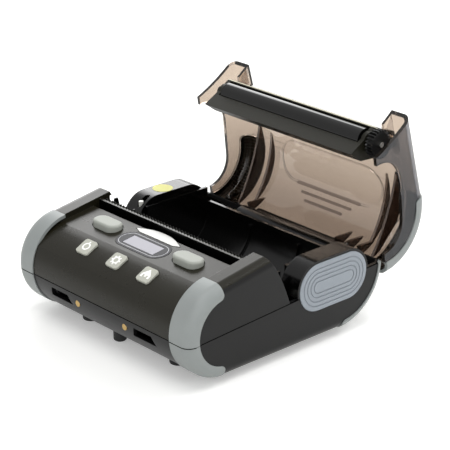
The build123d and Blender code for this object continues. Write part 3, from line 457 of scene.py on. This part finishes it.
# Gold-plated brass contacts: warm yellow metal
GILT = Finish("Gold-plated brass", "#b39763", 0.35, metallic=1.0, edge_mm=0.15)
# Nitrile rubber of the feet and the stud: black, matt
FOOT_RUBBER = Finish("Black nitrile rubber", "#151515", 0.6, grain_mm=0.5, grain_depth_mm=0.006)
# Extruded aluminium of the head's heat sink and the motor's can: pale grey metal
PLAIN_ALUMINIUM = Finish("Extruded aluminium", "#a9aaac", 0.38, metallic=1.0)
# Solder mask over glass-epoxy board: green gloss
BOARD_MASK = Finish("Green solder mask", "#1d5a33", 0.35)
# Shrink wrap over the cells: dark blue, glossy
CELL_WRAP = Finish("Dark shrink wrap", "#1c2330", 0.3)
# Zinc-plated screws, passivated black: dark metal
SCREW_ZINC = Finish("Black zinc-plated steel", "#3a3a3c", 0.35, metallic=1.0, edge_mm=0.1)
# Vinyl label: pale yellow, matt
LABEL_VINYL = Finish("Pale yellow vinyl", "#e9e79c", 0.65, ior=1.25)


class Icon(Enum):
    """Generic marks on the three keys."""

    POWER = "ring with a stroke"
    MODE = "ring with rays"
    FEED = "arrowhead on three legs"


# Outlines of the arrowhead and of the legs under it
ARROW = (
    ((-2.9, -0.5), (2.9, -0.5), (0.0, 2.9)),
    ((-2.65, -2.0), (-1.55, -2.0), (-1.55, -0.4), (-2.65, -0.4)),
    ((-0.55, -1.5), (0.55, -1.5), (0.55, -0.4), (-0.55, -0.4)),
    ((1.55, -2.0), (2.65, -2.0), (2.65, -0.4), (1.55, -0.4)),
)


@dataclass(frozen=True)
class RingMark:
    """A ring with rays, the first one at the top: its line's width and the rays' length."""

    line: float
    rays: int
    ray_length: float


def dress(node: Object, finish: Finish) -> None:
    """Give a CAD node one finish.

    Args:
        node: The node's object.
        finish: Its finish.
    """
    for slot in node.material_slots:
        slot.material = finish.material()


def recoated(
    node: Object,
    name: str,
    looks: Sequence[Finish],
    choose: Callable[[MeshPolygon, BVHTree], Finish],
) -> Object:
    """Stand a copy with several finishes in for a CAD node.

    Args:
        node: The CAD node.
        name: Name of the copy.
        looks: The finishes that it can have.
        choose: Gives a face its finish, from the face and a tree of the whole mesh.

    Returns:
        The copy, which replaces the node.
    """
    mesh = node.data.copy()
    mesh.materials.clear()
    for look in looks:
        mesh.materials.append(look.material())
    points = [vertex.co for vertex in mesh.vertices]
    tree = BVHTree.FromPolygons(points, [list(face.vertices) for face in mesh.polygons])
    for face in mesh.polygons:
        face.material_index = looks.index(choose(face, tree))
    made = add_object(name, mesh)
    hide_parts(node.name)
    return made


def standing(spot: Vector, up: Vector) -> Matrix:
    """Give the matrix of a place on a surface.

    Args:
        spot: The place, in metres.
        up: The surface's normal, of length 1.

    Returns:
        A matrix at the place. Z is the normal, and X lies as near to the printer's X as it can.
    """
    along = (Vector((1, 0, 0)) - up * up.x).normalized()
    return Matrix.Translation(spot) @ Matrix((along, up.cross(along), up)).transposed().to_4x4()


def seat_on(node: str, facing: Vector) -> Matrix:
    """Find the flat face of a CAD node that lies furthest along a direction.

    Args:
        node: Name of the node.
        facing: The direction, of any length.

    Returns:
        A matrix whose origin is the face's middle, Z is the direction and X is the printer's X.
    """
    up = facing.normalized()
    along = (Vector((1, 0, 0)) - up * up.x).normalized()
    across = up.cross(along)
    points = [v.co.copy() for v in bpy.data.objects[node].data.vertices]
    top = max(p.dot(up) for p in points)
    face = [p for p in points if p.dot(up) > top - FLAT_WITHIN * MM]
    middle = Vector()
    for axis in (along, across):
        low, high = min(p.dot(axis) for p in face), max(p.dot(axis) for p in face)
        middle += axis * (low + high) / 2
    return standing(middle + up * top, up)


def roof_place(node: str, x: float, y: float) -> Matrix:
    """Find the place straight under a point on a CAD node's upper side.

    Args:
        node: Name of the node.
        x: The point's X, in metres.
        y: Its Y.

    Returns:
        A matrix on the surface, with its Z along the surface's normal.
    """
    tree = BVHTree.FromObject(bpy.data.objects[node], bpy.context.evaluated_depsgraph_get())
    spot, up, _, _ = tree.ray_cast(Vector((x, y, RAY_START)), Vector((0, 0, -1)))
    return standing(spot, up)


def solid_from(
    name: str, make: Callable[[BMesh], None], finish: Finish, merge: bool = True
) -> Object:
    """Make a mesh object from a function that fills a bmesh.

    Args:
        name: Object name.
        make: Function that adds the geometry, in metres.
        finish: Its finish.
        merge: Whether points in one place become one.

    Returns:
        The new object, at the origin.
    """
    mesh = bpy.data.meshes.new(name)
    build = bmesh.new()
    make(build)
    if merge:
        bmesh.ops.remove_doubles(build, verts=build.verts, dist=MERGE_WITHIN)
    bmesh.ops.recalc_face_normals(build, faces=build.faces)
    build.to_mesh(mesh)
    build.free()
    mesh.materials.append(finish.material())
    return add_object(name, mesh)


def close_prism(build: BMesh, floor: Sequence[BMVert], roof: Sequence[BMVert]) -> None:
    """Close the solid between two outlines that face each other.

    Args:
        build: Mesh that gets the faces.
        floor: Points of the lower outline.
        roof: Points of the upper one, in the same order.
    """
    build.faces.new(list(reversed(floor)))
    build.faces.new(roof)
    for i in range(len(floor)):
        j = (i + 1) % len(floor)
        build.faces.new((floor[i], floor[j], roof[j], roof[i]))


@dataclass(frozen=True)
class Relief:
    """Thin forms that stand on a surface.

    Attributes:
        build: Mesh that gets them.
        place: Where their plane lies, in metres.
        low: Height of their underside.
        high: Height of their top.
    """

    build: BMesh
    place: Matrix
    low: float
    high: float

    def point(self, x: float, y: float, height: float) -> BMVert:
        """Add a point.

        Args:
            x: Its X in the plane.
            y: Its Y.
            height: Its height over the plane.

        Returns:
            The new point.
        """
        return self.build.verts.new(self.place @ (Vector((x, y, height)) * MM))

    def raise_outline(self, outline: Sequence[Pair]) -> None:
        """Add a prism over a flat outline.

        Args:
            outline: Its corners, counter-clockwise.
        """
        floor = [self.point(x, y, self.low) for x, y in outline]
        close_prism(self.build, floor, [self.point(x, y, self.high) for x, y in outline])

    def raise_ring(self, shape: Curve, width: float, steps: int) -> None:
        """Add a band that follows a closed curve.

        Args:
            shape: Point on the band's outer edge, for a share from 0 to 1.
            width: Width of the band, towards the middle.
            steps: Number of stretches.
        """
        rows = []
        for i in range(steps):
            x, y = shape(i / steps)
            after = shape(i / steps + CURVE_STEP)
            run = Vector((after[0] - x, after[1] - y)).normalized()
            inner = (x - run.y * width, y + run.x * width)
            corners = [(x, y, self.low), (x, y, self.high), (*inner, self.high), (*inner, self.low)]
            rows.append([self.point(*corner) for corner in corners])
        for i in range(steps):
            here, there = rows[i], rows[(i + 1) % steps]
            for j in range(4):
                k = (j + 1) % 4
                self.build.faces.new((here[j], there[j], there[k], here[k]))


def stadium(length: float, width: float) -> Curve:
    """Give a slot's outline as a curve, counter-clockwise, or a circle where both sizes agree.

    Args:
        length: Overall length.
        width: Overall width.

    Returns:
        A function from a share of the way round to a point.
    """
    radius = width / 2
    straight = length - width
    around = 2 * straight + 2 * math.pi * radius

    def at(share: float) -> Pair:
        way = (share % 1.0) * around
        if way < straight:
            return way - straight / 2, -radius
        way -= straight
        if way < math.pi * radius:
            turn = way / radius - math.pi / 2
            return straight / 2 + radius * math.cos(turn), radius * math.sin(turn)
        way -= math.pi * radius
        if way < straight:
            return straight / 2 - way, radius
        turn = (way - straight) / radius + math.pi / 2
        return -straight / 2 + radius * math.cos(turn), radius * math.sin(turn)

    return at


@dataclass
class RowOf:
    """Bars in a row, made by Geometry Nodes and turned into a plain mesh.

    Attributes:
        name: Object name.
        count: Number of bars.
        start: Middle of the first bar.
        step: From one bar to the next.
        size: Size of one bar.
        finish: Their finish.
    """

    name: str
    count: int
    start: Triple
    step: Triple
    size: Triple
    finish: Finish

    def tree(self) -> NodeTree:
        """Build the node tree, with named inputs for the row's sizes.

        Returns:
            The tree.
        """
        tree = bpy.data.node_groups.new(self.name + " row", "GeometryNodeTree")
        face = tree.interface
        face.new_socket("Geometry", in_out="OUTPUT", socket_type="NodeSocketGeometry")
        kinds = {"Count": "Int", "Start": "Vector", "Step": "Vector", "Bar Size": "Vector"}
        for title, kind in (kinds | {"Finish": "Material"}).items():
            face.new_socket(title, in_out="INPUT", socket_type="NodeSocket" + kind)
        given = add_node(tree, "NodeGroupInput").outputs
        links = {"Count": given["Count"], "Start Location": given["Start"], "Offset": given["Step"]}
        line = add_node(tree, "GeometryNodeMeshLine", links=links)
        bar = add_node(tree, "GeometryNodeMeshCube", links={"Size": given["Bar Size"]})
        links = {"Points": line.outputs[0], "Instance": bar.outputs[0]}
        placed = add_node(tree, "GeometryNodeInstanceOnPoints", links=links)
        links = {"Geometry": placed.outputs[0]}
        real = add_node(tree, "GeometryNodeRealizeInstances", links=links)
        links = {"Geometry": real.outputs[0], "Material": given["Finish"]}
        painted = add_node(tree, "GeometryNodeSetMaterial", links=links)
        add_node(tree, "NodeGroupOutput", links={"Geometry": painted.outputs[0]})
        return tree

    def build(self) -> Object:
        """Make the row as a plain mesh.

        Returns:
            The row, at the origin.
        """
        host = add_object(self.name + " host", bpy.data.meshes.new(self.name + " host"))
        modifier = host.modifiers.new("Row", "NODES")
        modifier.node_group = self.tree()
        values = {
            "Count": self.count,
            "Start": tuple(v * MM for v in self.start),
            "Step": tuple(v * MM for v in self.step),
            "Bar Size": tuple(v * MM for v in self.size),
            "Finish": self.finish.material(),
        }
        for item in modifier.node_group.interface.items_tree:
            if item.in_out == "INPUT":
                modifier[item.identifier] = values[item.name]
        bpy.context.view_layer.update()
        seen = host.evaluated_get(bpy.context.evaluated_depsgraph_get())
        mesh = bpy.data.meshes.new_from_object(seen)
        bpy.data.objects.remove(host)
        return add_object(self.name, mesh)


@dataclass
class SubAssembly:
    """A group of CAD nodes with one finish each, and the pieces added to them.

    Attributes:
        nodes: The frame's nodes by name.
        joints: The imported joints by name.
    """

    nodes: dict[str, Object]
    joints: dict[str, dict]

    finishes = {}

    def build(self) -> None:
        """Dress the group's nodes and add its pieces."""
        for name, finish in self.finishes.items():
            dress(self.nodes[name], finish)
            log.info("%s: %s", name, finish.name)
        self.add_pieces()

    def add_pieces(self) -> None:
        """Add what the CAD nodes don't have. A plain group adds nothing."""

    def fix(self, piece: Object, body: str, slot: str) -> None:
        """Make a piece ride on a body.

        Args:
            piece: The piece.
            body: The body that carries it.
            slot: The record's slot of its finish. Not used.
        """
        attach(piece, body)
        log.info("%s rides on %s", piece.name, body)


@dataclass
class Case(SubAssembly):
    """Lower and upper case, bumpers, feet, screws, ports and contacts.

    Attributes:
        seam_height: Height at which the parting plane crosses the middle.
        seam_slope: Its rise towards the rear.
        gap_width: Width of the shadow gap that is seen between the shells.
        gap_proud: How far the gap's dark line stands over the shells.
        gap_sunk: The same where it would else stand past the printer's widest point.
        gap_depth: How far it reaches into the shells.
        gap_under: From the parting plane down to the cut that gives the line its path.
        shade_slot_front: Front of the slot behind the panel, whose faces get painted shade in
            black.
        shade_slot_rear: Its rear.
        shade_slot_half: Half its length.
        shade_slot_top: Top of its rear wall.
        flank_from: The flanks lie further out than this; they keep the plain charcoal, without the
            painted tint.
    """

    seam_height: float = 26.04
    seam_slope: float = 0.0569
    gap_width: float = 0.42
    gap_proud: float = 0.03
    gap_sunk: float = -0.02
    gap_depth: float = 0.3
    gap_under: float = 0.05
    shade_slot_front: float = -35.1
    shade_slot_rear: float = -29.9
    shade_slot_half: float = 47.5
    shade_slot_top: float = 47.1
    flank_from: float = 54.0

    finishes = {
        "lower_case": CASE_ABS,
        "upper_case": UPPER_ABS_PAINTED_TINT,
        "battery_door": CASE_ABS,
        "battery_latch": CASE_ABS,
        "battery_pack": CELL_WRAP,
        "front_lower_bumper_right": CORNER_TPE,
        "front_lower_bumper_left": CORNER_TPE,
        "front_upper_bumper_right": CORNER_TPE,
        "front_upper_bumper_left": CORNER_TPE,
        "rear_bumper_right": CORNER_TPE,
        "rear_bumper_left": CORNER_TPE,
        "rubber_feet": FOOT_RUBBER,
        "clip_stud": FOOT_RUBBER,
        "case_screws": SCREW_ZINC,
        "port_sockets": BLACK_ACETAL,
        "charge_contacts": GILT,
        "main_board": BOARD_MASK,
        "key_board": BOARD_MASK,
    }

    def add_pieces(self) -> None:
        """Finish the upper case face by face, with painted light and painted shade, and draw the
        painted shadow line under it.
        """
        looks = (UPPER_ABS_PAINTED_TINT, CASE_ABS, BAY_ABS)
        upper = recoated(self.nodes["upper_case"], "upper_shell", looks, self.look_of)
        self.fix(upper, "base", "case_plastic")
        gap = self.shadow_gap("lower_case", "shadow_gap")
        self.fix(gap, "base", "case_plastic")
        # The same painted shadow line along the front bumpers' seam
        for side in ("left", "right"):
            gap = self.shadow_gap(f"front_lower_bumper_{side}", f"bumper_gap_{side}")
            self.fix(gap, "base", "bumper_rubber")

    def look_of(self, face: MeshPolygon, tree: BVHTree) -> Finish:
        """Choose a face's finish: painted shade in the slot behind the panel, the plain charcoal on
        the flanks, and the olive tint of painted light elsewhere.

        Args:
            face: A face of the upper case.
            tree: The whole upper case, which this choice doesn't need.

        Returns:
            One of the upper case's finishes.
        """
        x, y, z = face.center / MM
        # Painted shade: the slot behind the panel is dark plastic in shade, drawn as the polished
        # black of the bay
        if self.shade_slot_front < y < self.shade_slot_rear and abs(x) < self.shade_slot_half and z < self.shade_slot_top:
            return BAY_ABS
        # The flanks keep the plain charcoal; the other faces get the olive tint of painted light
        if abs(x) > self.flank_from and abs(face.normal.x) > SIDEWAYS:
            return CASE_ABS
        return UPPER_ABS_PAINTED_TINT

    def shadow_gap(self, node: str, name: str) -> Object:
        """Make the painted shadow: a dark line that follows a piece's outer edge along the parting
        plane.

        Args:
            node: CAD node under the parting plane.
            name: Name of the line.

        Returns:
            The line, as a thin solid.
        """
        up = Vector((0.0, -self.seam_slope, 1.0)).normalized()
        middle = Vector((0.0, 0.0, self.seam_height * MM))
        shell = bmesh.new()
        shell.from_mesh(self.nodes[node].data)
        depsgraph = bpy.context.evaluated_depsgraph_get()
        trees = [BVHTree.FromObject(self.nodes[part], depsgraph) for part in {node, "lower_case"}]
        cut = bmesh.ops.bisect_plane(
            shell,
            geom=[*shell.verts, *shell.edges, *shell.faces],
            plane_co=middle - up * self.gap_under * MM,
            plane_no=up,
            dist=CUT_WITHIN,
        )
        edges = [item for item in cut["geom_cut"] if isinstance(item, BMEdge)]
        runs = []
        for edge in edges:
            normal = edge.link_faces[0].normal
            out = (normal - up * normal.dot(up)).normalized()
            centre = (edge.verts[0].co + edge.verts[1].co) / 2
            begin = centre + out * RAY_OUTSIDE * MM
            if all(tree.ray_cast(begin, out)[0] is None for tree in trees):
                runs.append((edge.verts[0].co.copy(), edge.verts[1].co.copy(), out))
        shell.free()

        def make(build: BMesh) -> None:
            lift = up * self.gap_width * MM / 2
            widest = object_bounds()[1][0]
            for start, end, out in runs:
                reach = max(abs(point.x + out.x * self.gap_proud * MM) for point in (start, end))
                outer = self.gap_proud if reach <= widest else self.gap_sunk
                rings = []
                for depth in (outer, -self.gap_depth):
                    side = out * depth * MM
                    corners = (start - lift, end - lift, end + lift, start + lift)
                    rings.append([build.verts.new(corner + side) for corner in corners])
                close_prism(build, rings[1], rings[0])

        return solid_from(name, make, SHADOW_GAP, merge=False)


@dataclass
class Panel(SubAssembly):
    """Keys, release buttons, display and trim.

    Attributes:
        mark_rise: Height of the printed marks over a key.
        mark_radius: Outer radius of a ring mark.
        mark_steps: Number of stretches round a ring mark.
        ray_root: How far a ray starts inside the ring's outer edge.
        ray_half: Half its width at the root and at the tip.
        display_tilt: Slope of the bezel's face.
        outline_inset: From the bezel's edge to its printed outline.
        outline_squeeze: How much narrower the outline is than this inset makes it.
        outline_line: Its line width.
        outline_rise: Its height over the bezel.
        outline_steps: Number of stretches round it.
    """

    mark_rise: float = 0.06
    mark_radius: float = 2.1
    mark_steps: int = 36
    ray_root: float = 0.3
    ray_half: Pair = (0.45, 0.35)
    display_tilt: float = 8.0
    outline_inset: float = 1.1
    outline_squeeze: float = 0.2
    outline_line: float = 0.35
    outline_rise: float = 0.04
    outline_steps: int = 72

    rings = {
        Icon.POWER: RingMark(line=0.75, rays=1, ray_length=0.9),
        Icon.MODE: RingMark(line=0.9375, rays=8, ray_length=0.55),
    }

    finishes = {
        "power_button": KEY_SILICONE,
        "function_button": KEY_SILICONE,
        "feed_button": KEY_SILICONE,
        "release_button_left": BUTTON_ABS,
        "release_button_right": BUTTON_ABS,
        "lcd_bezel": BEZEL_ACRYLIC,
        "lcd_glass": DISPLAY_GLASS,
        "trim_plate": BRIGHT_TRIM,
        "tear_bar": TEAR_STEEL,
    }

    def mark(self, kind: Icon, place: Matrix) -> Object:
        """Print one mark on a key.

        Args:
            kind: Which mark.
            place: The key's top face.

        Returns:
            The mark as a thin solid.
        """

        def make(build: BMesh) -> None:
            relief = Relief(build, place, ROOT, self.mark_rise)
            if kind is not Icon.FEED:
                self.draw_ring(relief, self.rings[kind])
                return
            for outline in ARROW:
                relief.raise_outline(outline)

        return solid_from(f"{kind.name.lower()}_mark", make, KEY_PRINT)

    def draw_ring(self, relief: Relief, sizes: RingMark) -> None:
        """Draw a ring with its rays.

        Args:
            relief: The key's top face.
            sizes: The mark's sizes.
        """
        ring = stadium(2 * self.mark_radius, 2 * self.mark_radius)
        relief.raise_ring(ring, sizes.line, self.mark_steps)
        root, tip = self.mark_radius - self.ray_root, self.mark_radius + sizes.ray_length
        wide, narrow = self.ray_half
        ray = [(root, -wide), (tip, -narrow), (tip, narrow), (root, wide)]
        for index in range(sizes.rays):
            turn = Matrix.Rotation(2 * math.pi * index / sizes.rays + math.pi / 2, 4, "Z")
            replace(relief, place=relief.place @ turn).raise_outline(ray)

    def add_pieces(self) -> None:
        """Add the marks on the keys and the outline round the display."""
        # The keys face against the way they travel
        up = -Vector(self.joints["power_press"]["axis"])
        keys = {
            "power_button": (Icon.POWER, "power_key"),
            "function_button": (Icon.MODE, "function_key"),
            "feed_button": (Icon.FEED, "feed_key"),
        }
        for node, (kind, body) in keys.items():
            self.fix(self.mark(kind, seat_on(node, up)), body, "key_plastic")
        self.fix(self.display_outline(), "base", "bezel_plastic")

    def display_outline(self) -> Object:
        """Make the thin pale outline inside the bezel's edge.

        Returns:
            The outline, as a thin solid.
        """
        tilt = math.radians(self.display_tilt)
        place = seat_on("lcd_bezel", Vector((0, -math.sin(tilt), math.cos(tilt))))
        low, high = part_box("lcd_bezel")
        length = (high.x - low.x) / MM - 2 * self.outline_inset
        depth = (high.y - low.y) / math.cos(tilt) / MM
        edge = stadium(length, depth - 2 * self.outline_inset - self.outline_squeeze)

        def make(build: BMesh) -> None:
            relief = Relief(build, place, ROOT, self.outline_rise)
            relief.raise_ring(edge, self.outline_line, self.outline_steps)

        return solid_from("display_outline", make, BEZEL_LINE)


@dataclass
class Towers(SubAssembly):
    """The two side towers with their pads, the lid switch and the round label.

    Attributes:
        label_radius: Radius of the round label.
        label_place: Its middle, from the left tower's inner and front edges.
        label_thick: Thickness of the vinyl.
        label_steps: Number of corners round it.
    """

    label_radius: float = 4.9
    label_place: Pair = (5.1, 19.5)
    label_thick: float = 0.1
    label_steps: int = 48

    finishes = {
        "side_tower_right": BAY_ABS,
        "side_tower_left": BAY_ABS,
        "side_pad_right": PAD_SILICONE,
        "side_pad_left": PAD_SILICONE,
        "cover_switch": WHITE_ACETAL,
        "switch_body": BLACK_ACETAL,
    }

    def add_pieces(self) -> None:
        """Add the label on the left tower's sloping roof."""
        low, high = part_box("side_tower_left")
        across, back = (part * MM for part in self.label_place)
        place = roof_place("side_tower_left", high.x - across, low.y + back)
        edge = stadium(2 * self.label_radius, 2 * self.label_radius)
        outline = [edge(index / self.label_steps) for index in range(self.label_steps)]

        def make(build: BMesh) -> None:
            Relief(build, place, 0.0, self.label_thick).raise_outline(outline)

        self.fix(solid_from("round_label", make, LABEL_VINYL), "base", "switch_plastic")


@dataclass
class PaperBay(SubAssembly):
    """Paper tub and the mechanism in front of it.

    Attributes:
        conductor_count: Number of bright conductors on the thermal head.
        conductor_size: Size of one of them.
        conductor_reach: Half the length of the row.
        conductor_back: From the head's rear side forward to the face that carries them.
        conductor_height: Their middle over the head's foot.
    """

    conductor_count: int = 64
    conductor_size: Triple = (0.5, 0.06, 6.0)
    conductor_reach: float = 40.0
    conductor_back: float = 0.6
    conductor_height: float = 6.0

    finishes = {
        "paper_tub": BAY_ABS,
        "mechanism_frame": BLACK_STEEL,
        "thermal_head": PLAIN_ALUMINIUM,
        "stepper_motor": PLAIN_ALUMINIUM,
        "latch_hook_right": BLACK_STEEL,
        "latch_hook_left": BLACK_STEEL,
        "motor_pinion": BRIGHT_STEEL,
        "drive_gear": WHITE_ACETAL,
        "idler_gear": WHITE_ACETAL,
        "gear_pins": BRIGHT_STEEL,
    }

    def add_pieces(self) -> None:
        """Add the head's conductors, on the board beside the heating line."""
        low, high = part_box("thermal_head")
        pitch = 2 * self.conductor_reach / (self.conductor_count - 1)
        y = high.y / MM - self.conductor_back + self.conductor_size[1] / 2
        row = RowOf(
            "head_conductors",
            self.conductor_count,
            (-self.conductor_reach, y, low.z / MM + self.conductor_height),
            (pitch, 0.0, 0.0),
            self.conductor_size,
            GILT,
        )
        self.fix(row.build(), "head", "brass")


@dataclass
class Lid(SubAssembly):
    """Smoky lid with the roller, its frame, the hinge bar and the lid's bumpers.

    Attributes:
        back_from_hinge: Middle of the shut lid's round back, from the hinge.
        back_radius: Outer radius of that back.
        back_wall: Thickness of the lid's wall.
        top_slope: Slope of the shut lid's flat top.
        rim_depth: A face with more material than this behind it counts as a rim.
        rib_reach: The ribs stand nearer to the middle than this.
        rib_margin: A rib's faces lie further than this under the wall's inner side.
        raised_from: A face that stands higher than this over the back belongs to a raised form.
        bar_height: The three raised bars stand higher than this, and the raised oval lower.
        probe: How far a point goes along a face's normal to see whether the face looks outwards.
    """

    back_from_hinge: Pair = (-23.0, 5.5)
    back_radius: float = 26.5
    back_wall: float = 1.8
    top_slope: float = 9.18
    rim_depth: float = 3.0
    rib_reach: float = 46.0
    rib_margin: float = 0.1
    raised_from: float = 0.06
    bar_height: float = 0.38
    probe: float = 0.1

    looks = (SMOKY_PC, SMOKY_RIM, SMOKY_RIB, SMOKY_WALL_PAINTED_SHADE)

    finishes = {
        "roller_frame": CARRIER_NYLON,
        # Painted highlight, in part: the strip's near-white cream
        "cover_tear_strip": CREAM_STRIP_PAINTED_HIGHLIGHT,
        "hinge_bar": BAY_ABS,
        "platen_shaft": BRIGHT_STEEL,
        "platen_roller": ROLLER_RUBBER,
        "platen_bushes": BLACK_ACETAL,
        "platen_gear": BLACK_ACETAL,
        "cover_bumper_right": CORNER_TPE,
        "cover_bumper_left": CORNER_TPE,
        "hinge_pins": BRIGHT_STEEL,
        "torsion_springs": SPRING_WIRE,
    }

    def add_pieces(self) -> None:
        """Put the smoky shell in place of the plain one, with its rims and ribs darker and painted
        shade on the right end wall.
        """
        shell = recoated(self.nodes["cover_shell"], "smoky_shell", self.looks, self.look_of)
        self.fix(shell, "cover", "cover_plastic")

    def look_of(self, face: MeshPolygon, tree: BVHTree) -> Finish:
        """Choose a face's look by how long the light's way through the plastic is behind it, and
        paint shade on the right end wall's outer faces.

        Args:
            face: A face of the lid's shell.
            tree: The whole shell, to measure what lies behind the face.

        Returns:
            One of the lid's looks.
        """
        middle = face.center
        height = self.height_over_back(middle)
        if height > self.raised_from:
            rise = self.height_over_back(middle + face.normal * self.probe * MM) - height
            looks_out = rise > self.probe / 2
            return SMOKY_RIM if looks_out and height < self.bar_height else SMOKY_RIB
        if abs(middle.x) < self.rib_reach * MM and height < -self.back_wall - self.rib_margin:
            return SMOKY_RIB
        # Painted shade: the right end wall's outer faces, with nothing of the shell beyond them
        if face.normal.x > SIDEWAYS and middle.x > self.rib_reach * MM and height < 0.0:
            begin = middle + face.normal * RAY_OUTSIDE * MM
            _, _, _, beyond = tree.ray_cast(begin, face.normal)
            if beyond is None:
                return SMOKY_WALL_PAINTED_SHADE
        begin = middle - face.normal * RAY_INSIDE * MM
        _, _, _, depth = tree.ray_cast(begin, -face.normal)
        if depth is not None and depth > self.rim_depth * MM:
            return SMOKY_RIM
        return SMOKY_PC

    def height_over_back(self, point: Vector) -> float:
        """Measure a point's height over the outline of the lid's top and back.

        Args:
            point: The point, in metres, with the lid open as packed.

        Returns:
            The height, below 0 inside the lid.
        """
        hinge = Vector(self.joints["cover_hinge"]["pos_m"])
        turn = -math.radians(self.joints["cover_hinge"]["range_deg"][0])
        run, rise = (point.y - hinge.y) / MM, (point.z - hinge.z) / MM
        shut_y = run * math.cos(turn) - rise * math.sin(turn) - self.back_from_hinge[0]
        shut_z = run * math.sin(turn) + rise * math.cos(turn) - self.back_from_hinge[1]
        slope = math.radians(self.top_slope)
        if math.atan2(shut_z, shut_y) > math.pi / 2 + slope or shut_z < 0:
            return -shut_y * math.sin(slope) + shut_z * math.cos(slope) - self.back_radius
        return math.hypot(shut_y, shut_z) - self.back_radius


@dataclass(frozen=True)
class Lamp:
    """A soft rectangular lamp: its place and size in metres and its power in watts."""

    name: str
    place: Triple
    size: Pair
    power: float


@dataclass
class Studio:
    """White sweep, soft lamps and the camera.

    Attributes:
        camera_place: Where the camera stands, in metres.
        azimuth: How far it stands round to the right.
        elevation: How far it looks down.
        lens: Focal length.
        sensor: Width of the sensor.
        aim: Point at which the lamps look, in metres.
        surround: Strength of the world's light on matt surfaces.
        floor_colour: Colour of the matt floor.
        floor_lift: Glow that brings the lit floor up to white where it is seen.
        floor_size: Length of the floor's sides, in metres.
    """

    camera_place: Triple = (0.5401, -0.48932, 0.33659)
    azimuth: float = 47.698
    elevation: float = 22.134
    lens: float = 139.8
    sensor: float = 36.0
    aim: Triple = (0.0, 0.0, 0.04)
    surround: float = 0.55
    floor_colour: str = "#efefed"
    floor_lift: float = 0.3
    floor_size: float = 8.0

    lamps = (
        # Above: the soft shadow underneath
        Lamp("Key", (0.1, -0.25, 1.0), (0.6, 0.6), 3.2),
        # Front right: the panel and the flank towards the camera
        Lamp("Fill", (0.9, -0.6, 0.6), (0.9, 0.9), 3.0),
        # Behind: the narrow highlight along the roller
        Lamp("Strip", (0.15, 0.7, 0.85), (0.9, 0.13), 5.5),
        # Rear left: the sheen on the upper shell and the light through the lid
        Lamp("Back", (-1.02, 0.62, 0.56), (0.7, 0.64), 6.0),
    )

    def build(self) -> None:
        """Make the floor, the world, the lamps and the camera."""
        self.floor()
        self.world()
        for lamp in self.lamps:
            self.hang(lamp)
        self.camera()

    def seen_directly(self, tree: NodeTree) -> NodeSocket:
        """Tell the rays that show a thing from those that only light something.

        Args:
            tree: The tree that asks.

        Returns:
            A socket with 1 for camera, glossy and transmission rays and 0 for all others.
        """
        rays = add_node(tree, "ShaderNodeLightPath")
        seen = rays.outputs["Is Camera Ray"]
        for kind in ("Is Glossy Ray", "Is Transmission Ray"):
            links = {0: seen, 1: rays.outputs[kind]}
            either = add_node(tree, "ShaderNodeMath", {"operation": "MAXIMUM"}, links=links)
            seen = either.outputs[0]
        return seen

    def floor(self) -> None:
        """Make the pale floor, which shows white to the camera and keeps the shadow."""
        made = bpy.data.materials.new("Matt white sweep")
        made.use_nodes = True
        tree = made.node_tree
        tree.nodes.clear()
        paper = add_node(tree, "ShaderNodeBsdfDiffuse", values={"Color": linear(self.floor_colour)})
        times, lift = {"operation": "MULTIPLY"}, {1: self.floor_lift}
        seen = {0: self.seen_directly(tree)}
        strength = add_node(tree, "ShaderNodeMath", times, lift, seen)
        glow = add_node(tree, "ShaderNodeEmission", links={"Strength": strength.outputs[0]})
        links = {0: paper.outputs[0], 1: glow.outputs[0]}
        both = add_node(tree, "ShaderNodeAddShader", links=links)
        add_node(tree, "ShaderNodeOutputMaterial", links={"Surface": both.outputs[0]})
        bpy.ops.mesh.primitive_plane_add(size=self.floor_size, location=(0, 0, 0))
        plane = bpy.context.object
        plane.name = "floor"
        plane.data.materials.append(made)
        plane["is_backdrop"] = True

    def world(self) -> None:
        """Make the even white surround, full strength where it is seen."""
        surround = bpy.data.worlds.new("White surround")
        bpy.context.scene.world = surround
        surround.use_nodes = True
        tree = surround.node_tree
        tree.nodes.clear()
        values = {"To Min": self.surround, "To Max": 1.0}
        links = {"Value": self.seen_directly(tree)}
        strength = add_node(tree, "ShaderNodeMapRange", values=values, links=links)
        white, links = {"Color": (1, 1, 1, 1)}, {"Strength": strength.outputs[0]}
        light = add_node(tree, "ShaderNodeBackground", values=white, links=links)
        add_node(tree, "ShaderNodeOutputWorld", links={"Surface": light.outputs[0]})

    def hang(self, lamp: Lamp) -> None:
        """Hang one lamp and turn it to the printer.

        Args:
            lamp: The lamp.
        """
        data = bpy.data.lights.new(lamp.name, "AREA")
        data.shape = "RECTANGLE"
        data.size, data.size_y = lamp.size
        data.energy = lamp.power
        made = add_object(lamp.name, data)
        made.location = lamp.place
        way = Vector(self.aim) - Vector(lamp.place)
        made.rotation_euler = way.to_track_quat("-Z", "Y").to_euler()

    def camera(self) -> None:
        """Set the camera where the photograph was taken from."""
        data = bpy.data.cameras.new("Camera")
        data.lens = self.lens
        data.sensor_width = self.sensor
        camera = add_object("Camera", data)
        camera.location = self.camera_place
        turn = math.radians(self.azimuth)
        camera.rotation_euler = (math.radians(90 - self.elevation), 0.0, turn)
        bpy.context.scene.camera = camera


def main() -> None:
    """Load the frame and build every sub-assembly in order."""
    logging.basicConfig(level=logging.INFO, format="%(name)s: %(message)s")
    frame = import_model()
    joints = {joint["name"]: joint for joint in frame["joints"]}
    for group in (Case, Panel, Towers, PaperBay, Lid):
        log.info("building %s", group.__name__)
        group(frame["nodes"], joints).build()
    Studio().build()
    bpy.context.scene.view_settings.view_transform = "Standard"


if __name__ == "__main__":
    main()
